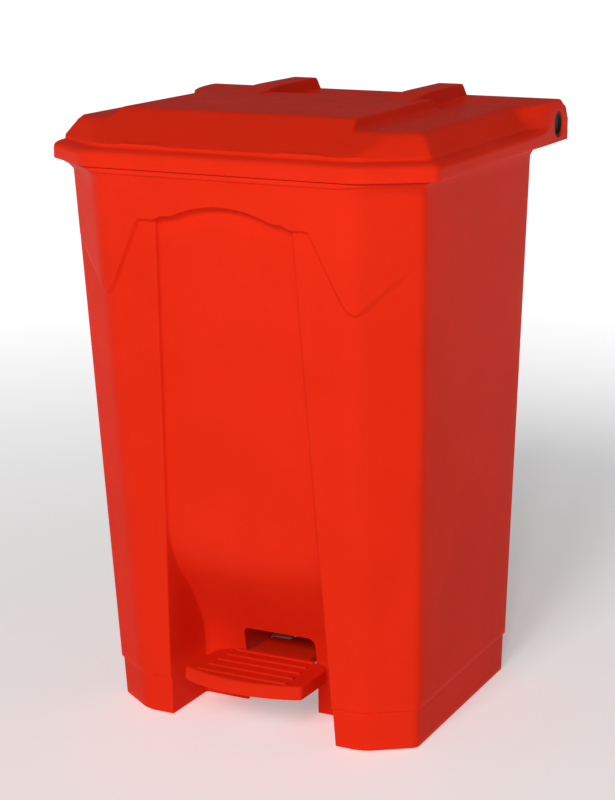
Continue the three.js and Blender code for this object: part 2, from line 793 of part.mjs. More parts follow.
const pedal = new THREE.Group();
pedal.position.set(0, PEDAL_PIVOT.y, PEDAL_PIVOT.z);
pedal.rotation.x = -PEDAL_TILT;
part.add(pedal);
pedal.add(mesh("pedal_tread", pedalTread(), red));
pedal.add(mesh("pedal_lever", pedalLever(), steel));
for (const [name, u] of Object.entries(TREAD_SCREW.stations)) {
  const made = mesh(`tread_screw_${name}`, screw(TREAD_SCREW), steel);
  made.position.set(0, u, LEVER.top - LEVER.sheet - GAP - TREAD_SCREW.headHeight);
  pedal.add(made);
}
for (const [name, side] of sides) {
  pedal.add(mesh(`lever_bush_${name}`, onSide(leverBush(), side), natural));
}

const axle = new THREE.Group();
axle.position.set(0, PEDAL_PIVOT.y, PEDAL_PIVOT.z);
part.add(axle);
axle.add(mesh("pedal_axle", rodX(-AXLE.half, AXLE.half, 0, 0, AXLE.radius, 24), steel));
for (const [name, side] of sides) {
  const clip = mesh(`axle_clip_${name}`, onSide(shaftClip(AXLE.radius + GAP / 2, 9), side), steel);
  clip.position.x = side * (CHANNEL.outer + GAP);
  axle.add(clip);
}

part.add(mesh("lift_wire", liftWire(), steel));
for (const [name, side] of sides) {
  part.add(mesh(`lift_bush_${name}`, onSide(liftBush(), side), natural));
  const clip = mesh(`wire_clip_${name}`, onSide(shaftClip(WIRE.radius + GAP / 2, 6.5), side), steel);
  clip.position.set(side * (LIFT_LUG.outer + 0.8), LIFT_PIVOT.y, LIFT_PIVOT.z);
  part.add(clip);
  GUIDE.heights.forEach((z, i) => {
    const level = ["lower", "upper"][i];
    part.add(mesh(`wire_guide_${level}_${name}`, onSide(wireGuide(z), side), black));
    const made = mesh(`guide_screw_${level}_${name}`, screw(GUIDE_SCREW), steel);
    made.position.set(side * GUIDE.screwX, GUIDE.y + GUIDE.plate + GAP + GUIDE_SCREW.headHeight, z);
    made.rotation.x = Math.PI / 2;
    part.add(made);
  });
}

export default part;
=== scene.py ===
import math

import bmesh
import bpy
import numpy as np
from mathutils import Matrix, Vector


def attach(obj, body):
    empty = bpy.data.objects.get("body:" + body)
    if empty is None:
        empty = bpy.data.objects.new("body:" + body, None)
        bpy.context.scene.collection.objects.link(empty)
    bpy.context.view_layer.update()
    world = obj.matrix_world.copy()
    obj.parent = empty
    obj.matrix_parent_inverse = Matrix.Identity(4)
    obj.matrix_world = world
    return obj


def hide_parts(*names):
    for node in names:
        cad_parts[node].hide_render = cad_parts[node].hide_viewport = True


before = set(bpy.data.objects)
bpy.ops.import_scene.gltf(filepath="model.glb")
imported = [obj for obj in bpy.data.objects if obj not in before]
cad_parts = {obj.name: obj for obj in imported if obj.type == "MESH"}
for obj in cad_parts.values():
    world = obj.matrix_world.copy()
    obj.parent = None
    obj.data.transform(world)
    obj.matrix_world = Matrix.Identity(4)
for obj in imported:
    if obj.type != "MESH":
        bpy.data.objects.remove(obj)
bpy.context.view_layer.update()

# Shapes are worked out in millimetres, in the shared frame, and scaled to metres as each mesh is made.
MM = 0.001

# ---- Driving dimensions ----

WALL = 3.5
TUB = {
    "front": -141.4, "front_slope": -0.0885,     # y of the front plane, and its lean per mm of height
    "side": 178.7, "side_slope": 0.0315,         # half width
    "half": 129.6, "half_slope": 0.0142,         # half width of the flat front
    "corner": -107.5, "corner_slope": -0.0698,   # where the front chamfer meets the side
    "rear": 141.4,
    "radii": (42.0, 14.0, 8.0),                  # front edge, chamfer's end, rear corner
    "foot_inset": 2.2, "sole": 12.0,             # how far the foot and the sole's inner edge are set in
}
RIM = {"top": 599.6, "side": 202.4, "front": -202.5, "corner": -157.0, "half": 146.0, "rear": 145.0,
       "radii": (44.0, 12.0, 8.0), "under": 596.4, "lip": 2.0, "lip_half": 128.0, "lip_end": 150.0}
RECESS = {"bottom_half": 97.3, "top_half": 76.0, "top": 550.0, "wall_run": 2.0}
PANEL = [(-5, -67.5), (40, -69), (62, -71.5), (83, -76), (106, -87), (124, -98), (148, -116), (170, -134.4),
         (186, -143.8), (203, -151.5), (225, -156), (260, -159), (320, -164), (400, -171),
         (560, -185)]     # (height, y) up the recess's back
YOKE = {
    "proud": 5.0, "arch_top": 566.5, "arch_radius": 144.0, "crisp": 2.4, "broad": 6.0,
    # From the arch outwards: the shoulder's end, the flat's ends, the low point and where it fades out.
    "points": ((71.0, 553.5), (76.0, 549.4), (94.0, 549.4), (136.0, 463.0), (196.0, 525.0)),
}
SLOT = {"half": 43.0, "top": 88.0, "corner": 8.0}
NOTCH = {"half": 36.0, "top": 84.0, "corner": 8.0}
HINGE = {"y": 176.6, "z": 619.0, "bore": 6.3, "counterbore": 14.0, "shelf": 208.0}
AXLE_BORE = 4.3
SCREW_HOLE = 2.2
EAR = {"inner": 191.0, "outer": 204.4, "radius": 14.0}
PIVOT = {"y": 8.0, "z": 40.0}
CHANNEL = {"inner": 51.0, "outer": 55.0, "bottom": 28.0, "rear": 139.0}
WIRE = {"radius": 3.0, "leg": 86.0, "bend": 7.0, "end": 106.0, "bottom": 26.0, "y": 155.9, "top": 601.6}
LID = {
    "rear": 205.0, "side": 214.2, "wall": 3.0, "foot": 622.6, "plateau": 643.3, "crown": 645.3,
    "crown_from": 120.0, "crown_run": 50.0, "roll": 24.0,
    "cheek_inner": 205.0, "cheek_front": 146.0, "side_radius": 11.0,
    "flare_from": 97.0, "flare_run": 53.0,       # where the sides swell out to the roll over the hinge
}
SKIRT = {"half": 149.0, "front": -205.0, "side": 214.2, "corner": -158.6, "radius": 44.0}
DOME = {"half": 143.0, "front": -194.8, "side": 203.4, "corner": -152.3, "radius": 38.0}
DOME_SLOPES = {"front": 0.51, "chamfer": 1.107, "side": 1.6, "roll_side": 8.4}     # rise per mm of run
DECK = {"left": -143.0, "right": 118.0, "top": 653.0, "front": -135.2, "rear": 55.0, "lean": 1.7,
        "rear_lean": 5.0}
HUMP = {"inner": 73.0, "outer": 105.0, "top": 658.0, "ramp": 30.0, "crest": 92.0, "rear": 172.0,
        "crest_round": 5.0, "lean": 4.0, "drop": 18.0, "drop_run": 8.0}


# ---- Small maths ----

def smooth(t):
    t = np.clip(t, 0.0, 1.0)
    return t * t * (3 - 2 * t)


def smooth_min(a, b, k):
    h = np.clip(0.5 + 0.5 * (b - a) / k, 0.0, 1.0)
    return b + (a - b) * h - k * h * (1 - h)


def smooth_max(a, b, k):
    return -smooth_min(-np.asarray(a), -np.asarray(b), k)


def spline(knots, x):
    """A curve through (x, y) knots with even tangents."""
    k = np.array(knots, float)
    slope = np.gradient(k[:, 1], k[:, 0])
    i = np.clip(np.searchsorted(k[:, 0], x) - 1, 0, len(k) - 2)
    h = k[i + 1, 0] - k[i, 0]
    t = np.clip((x - k[i, 0]) / h, 0.0, 1.0)
    return ((1 + 2 * t) * (1 - t) ** 2 * k[i, 1] + t * (1 - t) ** 2 * h * slope[i]
            + t * t * (3 - 2 * t) * k[i + 1, 1] + t * t * (t - 1) * h * slope[i + 1])


# ---- Mesh making ----

def new_object(name, verts, faces, sharp=40.0):
    """An object from vertices in millimetres, shaded smooth except at edges sharper than an angle."""
    mesh = bpy.data.meshes.new(name)
    mesh.from_pydata([tuple(v) for v in np.asarray(verts, float) * MM], [], faces)
    obj = bpy.data.objects.new(name, mesh)
    bpy.context.scene.collection.objects.link(obj)
    tidy(obj, sharp)
    return obj


def tidy(obj, sharp=40.0):
    """Merges doubled vertices, turns every face outwards and sets the shading."""
    bm = bmesh.new()
    bm.from_mesh(obj.data)
    bmesh.ops.remove_doubles(bm, verts=bm.verts, dist=1e-6)
    bmesh.ops.dissolve_degenerate(bm, edges=bm.edges, dist=1e-7)
    bmesh.ops.recalc_face_normals(bm, faces=bm.faces)
    bm.to_mesh(obj.data)
    bm.free()
    obj.data.shade_smooth()
    obj.data.set_sharp_from_angle(angle=math.radians(sharp))


def skin(name, rings, sharp=40.0):
    """A closed skin over rings, an array of (ring, point, xyz), with a flat cap at each end."""
    rings = np.asarray(rings, float)
    count, n, _ = rings.shape
    faces = [(j * n + i, j * n + (i + 1) % n, (j + 1) * n + (i + 1) % n, (j + 1) * n + i)
             for j in range(count - 1) for i in range(n)]
    faces.append(tuple(range(n - 1, -1, -1)))
    faces.append(tuple(range((count - 1) * n, count * n)))
    return new_object(name, rings.reshape(-1, 3), faces, sharp)


def bake(obj):
    """Applies the object's modifiers."""
    dg = bpy.context.evaluated_depsgraph_get()
    obj.data = bpy.data.meshes.new_from_object(obj.evaluated_get(dg))
    obj.modifiers.clear()


def boolean(obj, others, operation, sharp=40.0):
    """Joins the other shapes to obj, or cuts them from it, one at a time."""
    for other in others:
        mod = obj.modifiers.new("cut", "BOOLEAN")
        mod.object, mod.operation, mod.solver = other, operation, "MANIFOLD"
        bake(obj)
        bpy.data.objects.remove(other)
    tidy(obj, sharp)
    return obj


def bevelled(obj, width, segments=2, angle=30.0):
    """Rounds the object's sharp edges."""
    mod = obj.modifiers.new("round", "BEVEL")
    mod.width, mod.segments, mod.limit_method = width * MM, segments, "ANGLE"
    mod.angle_limit, mod.harden_normals = math.radians(angle), False
    bake(obj)
    tidy(obj, 50.0)
    return obj


def prism(name, outline, axis, lo, hi, round_edges=0.0):
    """A closed outline drawn along an axis. The outline is in (y, z), (x, z) or (x, y)."""
    order = {"x": (2, 0, 1), "y": (0, 2, 1), "z": (0, 1, 2)}[axis]
    n = len(outline)
    verts = np.array([[*p, h] for h in (lo, hi) for p in outline], float)[:, order]
    faces = [(i, (i + 1) % n, n + (i + 1) % n, n + i) for i in range(n)]
    faces += [tuple(range(n - 1, -1, -1)), tuple(range(n, 2 * n))]
    obj = new_object(name, verts, faces)
    return bevelled(obj, round_edges) if round_edges else obj


def circle(cy, cz, radius, sides=48):
    angles = np.arange(sides) * 2 * math.pi / sides
    return [(cy + radius * math.cos(a), cz + radius * math.sin(a)) for a in angles]


def conic(a, corner, b, w, t):
    """A point on the arc from a to b round a corner, where w is the sine of half the corner's angle."""
    s = (1 - t) ** 2 + 2 * t * (1 - t) * w + t * t
    return ((1 - t) ** 2 * a + 2 * t * (1 - t) * w * corner + t * t * b) / s


def rounded(before, here, after, radius, segments):
    """The points of the arc that rounds a corner between its two neighbours."""
    here = np.array(here, float)
    back, on = np.array(before, float) - here, np.array(after, float) - here
    back, on = back / np.linalg.norm(back), on / np.linalg.norm(on)
    half = math.acos(np.clip(back @ on, -1, 1)) / 2
    reach = radius / math.tan(half)
    a, b = here + back * reach, here + on * reach
    return [conic(a, here, b, math.sin(half), t) for t in np.linspace(0, 1, segments + 1)]


def rect(a, b, c, d):
    """The outline of a rectangle from a to b one way and from c to d the other."""
    return [(a, c), (b, c), (b, d), (a, d)]


def round_corners(corners, segments=8):
    """A closed outline from [x, y, radius] corners."""
    points = []
    for i, (x, y, radius) in enumerate(corners):
        if not radius:
            points.append((x, y))
            continue
        after = corners[(i + 1) % len(corners)][:2]
        points += [tuple(p) for p in rounded(corners[i - 1][:2], (x, y), after, radius, segments)]
    return points


def turned_to(verts, axis, centre):
    """Points drawn about the Z axis, turned to an axis and moved to a centre."""
    order = {"x": (2, 0, 1), "y": (1, 2, 0), "z": (0, 1, 2)}[axis[-1]]
    verts = np.array(verts)[:, order]
    if axis == "-x":
        verts[:, 0] *= -1
    return verts + np.array(centre, float)


def lathe(name, profile, axis, centre, sides=48):
    """A profile of (radius, along) turned about an axis through a point. It starts and ends on the axis."""
    rows = np.array(profile, float)
    angles = np.arange(sides) * 2 * math.pi / sides
    verts, faces, starts = [], [], []
    for r, a in rows:
        starts.append(len(verts))
        ring = [(0.0, 0.0, a)] if r < 1e-6 else [(r * math.cos(t), r * math.sin(t), a) for t in angles]
        verts += ring
    for k in range(len(rows) - 1):
        p, q = starts[k], starts[k + 1]
        one, two = rows[k][0] < 1e-6, rows[k + 1][0] < 1e-6
        for i in range(sides):
            j = (i + 1) % sides
            if one and not two:
                faces.append((p, q + i, q + j))
            elif two and not one:
                faces.append((p + i, q, p + j))
            elif not one and not two:
                faces.append((p + i, q + i, q + j, p + j))
    return new_object(name, turned_to(verts, axis, centre), faces)


def lathe_ring(name, profile, axis, centre, sides=48):
    """A closed profile of (radius, along) turned about an axis: a ring, a bush or a clip."""
    rows = np.array(profile, float)
    angles = np.arange(sides) * 2 * math.pi / sides
    n = len(rows)
    verts = [(r * math.cos(t), r * math.sin(t), a) for t in angles for r, a in rows]
    faces = []
    for i in range(sides):
        here, there = i * n, ((i + 1) % sides) * n
        faces += [(here + k, here + (k + 1) % n, there + (k + 1) % n, there + k) for k in range(n)]
    return new_object(name, turned_to(verts, axis, centre), faces)


def both(make):
    """The same shape on the right, then on the left."""
    return [make(1), make(-1)]


def span(side, a, b):
    """The two ends, in order, of a stretch on one side of the centre line."""
    return sorted((side * a, side * b))


def to_side(side):
    return "x" if side > 0 else "-x"


def bore(side, y, z, radius, a, b, sides=48):
    """A cutter for a hole along X, from a to b on one side."""
    return prism("bore", circle(y, z, radius, sides), "x", *span(side, a, b))


def screw_hole(axis, a, b, lo, hi, radius=SCREW_HOLE):
    return prism("hole", circle(a, b, radius, 24), axis, lo, hi)


# ---- Tub ----

class HalfOutline:
    """The right half of an outline, from the front centre to the rear centre, as columns of points.

    It has straight runs between corners, and an arc at each corner."""

    def __init__(self, runs, arcs):
        self.items = []
        for k, run in enumerate(runs):
            self.items += [("run", k, t) for t in run]
            if k < len(arcs):
                self.items += [("arc", k + 1, t) for t in np.linspace(0, 1, arcs[k])]

    def __len__(self):
        return len(self.items)

    def points(self, x, y, reach):
        """x, y and reach are arrays of (corner, column): each column has its own height."""
        p = np.stack([x, y], -1)
        d = p[1:] - p[:-1]
        u = d / np.linalg.norm(d, axis=-1, keepdims=True)
        out = np.empty((len(self.items), 2))
        for c, (kind, k, t) in enumerate(self.items):
            if kind == "run":
                a = p[k, c] + u[k, c] * reach[k, c]
                b = p[k + 1, c] - u[k, c] * reach[k + 1, c]
                out[c] = a + (b - a) * t
                continue
            a = p[k, c] - u[k - 1, c] * reach[k, c]
            b = p[k, c] + u[k, c] * reach[k, c]
            w = math.sqrt(max((1 + u[k - 1, c] @ u[k, c]) / 2, 0.0))
            out[c] = conic(a, p[k, c], b, w, t)
        return out


def between(count, end=False):
    """Even fractions of a run whose ends belong to its neighbours."""
    return list(np.linspace(0, 1, count + 2)[1:None if end else -1])


TUB_COLUMNS = HalfOutline(
    runs=[[0.0] + between(15), between(3), between(13), between(9), between(13), between(12, end=True)],
    arcs=[6, 6, 10, 8, 9],
)
EDGE_REACH = (3.2, 1.8)     # how far the recess's inner and outer edges are rounded


def tub_corners(front, half, side, corner, rear, panel, recess_x, wall_run, radii):
    """Corner points and the reach of each corner's arc. Every argument is an array over the columns."""
    zero = np.zeros_like(front)
    x = np.array([zero, recess_x - wall_run, recess_x, half, side, side, zero])
    y = np.array([panel, panel, front, front, corner, rear, rear])
    p = np.stack([x, y], -1)
    d = p[1:] - p[:-1]
    u = d / np.linalg.norm(d, axis=-1, keepdims=True)
    turn = np.arccos(np.clip((u[:-1] * u[1:]).sum(-1), -1, 1))
    reach = np.zeros_like(x)
    reach[1], reach[2] = EDGE_REACH
    for k, radius in zip((3, 4, 5), radii):
        reach[k] = radius * np.tan(turn[k - 1] / 2)
    return x, y, reach


def tub_points(z, proud=0.0, inset=0.0, grow=0.0, recess=1.0):
    """Half the tub's outline, at a height for each column."""
    front = TUB["front"] + TUB["front_slope"] * z
    side = TUB["side"] + TUB["side_slope"] * z
    half = TUB["half"] + TUB["half_slope"] * z
    corner = TUB["corner"] + TUB["corner_slope"] * z
    chamfer = np.arctan2(corner - front, side - half)
    face = front + inset - proud
    depth = recess * (spline(PANEL, z) + grow - face)
    taper = (RECESS["top_half"] - RECESS["bottom_half"]) / RECESS["top"]
    corners = tub_corners(
        front=face,
        half=half - inset * np.tan(chamfer / 2),
        side=side - inset,
        corner=corner + inset * np.tan((math.pi / 2 - chamfer) / 2),
        rear=np.full_like(z, TUB["rear"] - inset),
        panel=face + depth,
        recess_x=RECESS["bottom_half"] + taper * np.minimum(z, 575.0) + grow,
        wall_run=RECESS["wall_run"] + 4.0 * (1 - smooth(depth / 6)),
        radii=[max(r - inset, 2.0) for r in TUB["radii"]],
    )
    return np.column_stack([TUB_COLUMNS.points(*corners), z])


def rim_points(z, inset=0.0):
    """Half the outline of the flange that the lid rests on."""
    one = np.ones(len(TUB_COLUMNS))
    corners = tub_corners(
        front=one * (RIM["front"] + inset), half=one * (RIM["half"] - 0.3 * inset),
        side=one * (RIM["side"] - inset), corner=one * (RIM["corner"] + 0.5 * inset),
        rear=one * (RIM["rear"] - inset), panel=one * (RIM["front"] + inset),
        recess_x=one * RECESS["top_half"], wall_run=one * (RECESS["wall_run"] + 4.0),
        radii=[max(r - inset, 2.0) for r in RIM["radii"]],
    )
    return np.column_stack([TUB_COLUMNS.points(*corners), one * z])


def rim_underside(z, inset):
    """A ring at a height over the flange's lower face, which is deeper across the front."""
    ring = rim_points(0.0, inset)
    fade = smooth((RIM["lip_end"] - ring[:, 0]) / (RIM["lip_end"] - RIM["lip_half"]))
    front = smooth((-150.0 - ring[:, 1]) / 10.0)
    ring[:, 2] = RIM["under"] - RIM["lip"] * fade * front + z
    return mirror_ring(ring)


def yoke_edge(x):
    """Height of the proud upper part's lower edge, at a distance from the centre line."""
    x = np.abs(x)
    radius = YOKE["arch_radius"]
    arch = YOKE["arch_top"] - radius + np.sqrt(np.maximum(radius ** 2 - x ** 2, 0))
    (sx, sz), (nx, nz), (mx, mz), (tx, tz), (ox, oz) = YOKE["points"]
    shoulder = sz + 0.7 * smooth((sx - x) / 14)
    step = sz + (nz - sz) * smooth((x - sx) / (nx - sx))
    falling = mz + (tz - mz) * (x - mx) / (tx - mx)
    rising = tz + (oz - tz) * (x - tx) / (ox - tx)
    inside = np.maximum(arch, shoulder)
    return np.select([x < sx, x < nx, x < mx, x < tx, x < ox], [inside, step, nz, falling, rising], oz)


def softened_edge(x):
    """The same edge with its corners rounded, most at the low points, and its slope."""
    x = np.abs(x)
    tip = YOKE["points"][3][0]
    spread = 2.0 + 7.0 * smooth((x - tip + 22) / 14) * smooth((tip + 26 - x) / 14)
    offsets = np.linspace(-1, 1, 13)[:, None] * spread
    height = np.mean(yoke_edge(x + offsets), axis=0)
    slope = np.mean(yoke_edge(x + offsets + 0.5) - yoke_edge(x + offsets - 0.5), axis=0)
    return height, slope


def mirror_ring(half):
    """The whole ring from its right half, anticlockwise from above, starting at the front centre."""
    left = half[1:-1][::-1] * np.array([-1, 1, 1])
    return np.vstack([half, left])


def warped(row_height, mask=None, proud=0.0, recess=1.0, **shape):
    """A ring whose height follows the yoke's edge. row_height takes the edge's height and stretch.

    The step from the recessed front to the proud one is crisp where the edge is level and broad where it
    slopes: mask is how far outside the edge the ring lies."""
    z = np.full(len(TUB_COLUMNS), 500.0)
    up = 0.0
    for _ in range(3):
        x = tub_points(z, **shape)[:, 0]
        edge, slope = softened_edge(x)
        if mask is not None:
            broad = smooth(np.abs(slope) / 0.8) * smooth((x - 88) / 10)
            width = YOKE["crisp"] + (YOKE["broad"] - YOKE["crisp"]) * broad
            up = smooth((mask + width / 2) / width)
        z = row_height(edge, np.sqrt(1 + slope ** 2))
    if mask is None:
        return mirror_ring(tub_points(z, proud=proud, recess=recess, **shape))
    return mirror_ring(tub_points(z, proud=proud * up, recess=1 - up, **shape))


def level(z, **shape):
    return mirror_ring(tub_points(np.full(len(TUB_COLUMNS), float(z)), **shape))


WARP_FROM = 430.0
STEP = (-6, -4, -2.6, -1.8, -1.2, -0.7, -0.25, 0.25, 0.7, 1.2, 1.8, 2.6, 4, 6)


def wall_rings(inner=False):
    """The tub's wall from the foot ring to the rim, outside or inside."""
    shape = {"inset": WALL, "grow": WALL} if inner else {}
    lift = WALL if inner else 0.0
    rings = []
    levels = [100, 106, 115] if inner else []
    levels += [z for z in (52, 60, 70, 80, 90, 100, 110) if not inner]
    levels += list(np.arange(120, 250, 10)) + list(np.arange(250, WARP_FROM, 20))
    rings += [level(z, **shape) for z in levels]
    for t in (0.0, 0.3, 0.55, 0.8):
        rings.append(warped(lambda e, k, t=t: WARP_FROM + t * (e + lift - 6 * k - WARP_FROM), **shape))
    proud = 0.0 if inner else YOKE["proud"]
    for e0 in STEP:
        rings.append(warped(lambda e, k, e0=e0: e + lift + e0 * k, mask=e0, proud=proud, **shape))
    for t in (0.15, 0.3, 0.5, 0.7, 0.85, 1.0):
        rings.append(warped(lambda e, k, t=t: (e + lift + 6 * k) * (1 - t) + 589.0 * t,
                            recess=0.0, proud=proud, **shape))
    return rings


def tub_rings():
    foot, sole, thin = TUB["foot_inset"], TUB["sole"], TUB["foot_inset"] + WALL
    under = {"grow": WALL}
    rings = [level(z, inset=thin + extra, **under) for z, extra in
             ((92, 3), (91.4, 0.8), (90, 0), (70, 0), (50, 0), (30, 0), (12, 0), (5, 0), (4.1, 0.6))]
    rings += [level(4.0, inset=sole - 0.6, **under), level(3.4, inset=sole, **under)]
    rings += [level(0.6, inset=sole, **under), level(0.0, inset=sole - 0.6, **under)]
    rings += [level(0.0, inset=foot + 0.9), level(0.3, inset=foot + 0.3), level(1.0, inset=foot)]
    rings += [level(z, inset=foot) for z in (8, 20, 32, 40, 42)]
    for z in (42.8, 43.3, 43.8, 44.3, 44.8, 45.4):
        rings.append(level(z, inset=foot * float(1 - smooth((z - 42.8) / 2.6))))
    rings += wall_rings()
    rings += [rim_underside(z, inset) for z, inset in ((0.0, 2.4), (0.0, 0.9), (0.3, 0.25), (0.9, 0.0))]
    top = RIM["top"]
    rings += [mirror_ring(rim_points(top - down, inset)) for down, inset in ((1.0, 0), (0.3, 0.3), (0, 1.0))]
    rings += [level(top - down, inset=WALL - less, recess=0.0)
              for down, less in ((0, 0.8), (0.4, 0.2), (1.6, 0))]
    rings += wall_rings(inner=True)[::-1]
    rings += [level(z, inset=WALL + extra, grow=WALL + extra) for z, extra in
              ((97.6, 0.3), (96.5, 1.2), (96, 3.0))]
    return rings


def notch_cutter(name, dims, lo, hi):
    outline = round_corners([[-dims["half"], -20, 0], [dims["half"], -20, 0],
                             [dims["half"], dims["top"], dims["corner"]],
                             [-dims["half"], dims["top"], dims["corner"]]])
    return prism(name, outline, "y", lo, hi)


def tub_ear(side):
    y, z = HINGE["y"], HINGE["z"]
    r = EAR["radius"]
    start, end = math.radians(-127), math.radians(132)
    arc = [(y + r * math.cos(t), z + r * math.sin(t)) for t in np.linspace(start, end, 28)]
    outline = [(130, 597), (145, 597), (151, 600.5), (158, 603)] + arc
    outline += [(158, 624), (150, 617), (143, 608), (137, 600), (130, 599)]
    return prism("ear", outline, "x", *span(side, EAR["inner"], EAR["outer"]), round_edges=0.8)


def channel_wall(side):
    """A wall under the floor, from the recess's panel to the rear wall, that carries the pedal's axle."""
    heights = np.linspace(CHANNEL["bottom"], 94.0, 14)
    outline = [(spline(PANEL, z) + 0.5 * WALL, z) for z in heights]
    outline += [(CHANNEL["rear"], 94.0), (CHANNEL["rear"], CHANNEL["bottom"])]
    return prism("wall", outline, "x", *span(side, CHANNEL["inner"], CHANNEL["outer"]), round_edges=0.5)


GUIDE = {"heights": (150.0, 480.0), "screw": 64.0, "y": 141.7, "plate": 3.6, "depth": 21.4, "height": 16.0}


def build_tub():
    tub = skin("tub_shell", tub_rings())
    pads = [lathe("pad", [(0, 0), (7, 0), (7, 8), (0, 8)], "y", (side * GUIDE["screw"], 132.4, z))
            for z in GUIDE["heights"] for side in (1, -1)]
    boolean(tub, both(tub_ear) + both(channel_wall) + pads, "UNION")
    cuts = [notch_cutter("slot", SLOT, -140, -40), notch_cutter("notch", NOTCH, 110, 160)]
    for side in (1, -1):
        cuts.append(bore(side, HINGE["y"], HINGE["z"], HINGE["bore"], 180, 212))
        cuts.append(bore(side, PIVOT["y"], PIVOT["z"], AXLE_BORE, 48, 60))
        cuts += [screw_hole("y", side * GUIDE["screw"], z, 134.4, 150) for z in GUIDE["heights"]]
    return boolean(tub, cuts, "DIFFERENCE")


# ---- Lid ----

LID_INNER_HALF = 125.0      # columns within this distance of the centre line run straight to the back
LID_SIDE_FROM = -135.0      # behind this, the lid's sides run straight to the back
# Shares of the way out from the inner columns to the edge, close together at the panel's left side.
OUTER_SHARES = np.array([0.08, 0.15, 0.18, 0.205, 0.225, 0.245, 0.265, 0.285, 0.305, 0.33, 0.37, 0.45,
                         0.56, 0.68, 0.79, 0.87, 0.925, 0.96, 0.985, 1.0])
LID_FRONT_ROWS = (-190.5, -188.0, -185.0, -182.0, -179.0, -176.0, -173.5)
LID_CORNER_ROWS = [-165, -158, -151, -144, -137]


NEAR_MARK = (-3.0, -1.6, -0.7, 0.0, 0.7, 1.6, 3.0)


def clustered(marks, lo, hi, step):
    """Positions from lo to hi about a step apart, and close together at each mark."""
    fixed = {float(lo), float(hi)}
    for mark in marks:
        fixed |= {mark + d for d in NEAR_MARK if lo <= mark + d <= hi}
    fixed = sorted(fixed)
    out = []
    for a, b in zip(fixed[:-1], fixed[1:]):
        out += list(np.linspace(a, b, max(int(math.ceil((b - a) / step)), 1) + 1)[:-1])
    return np.array(out + [fixed[-1]])


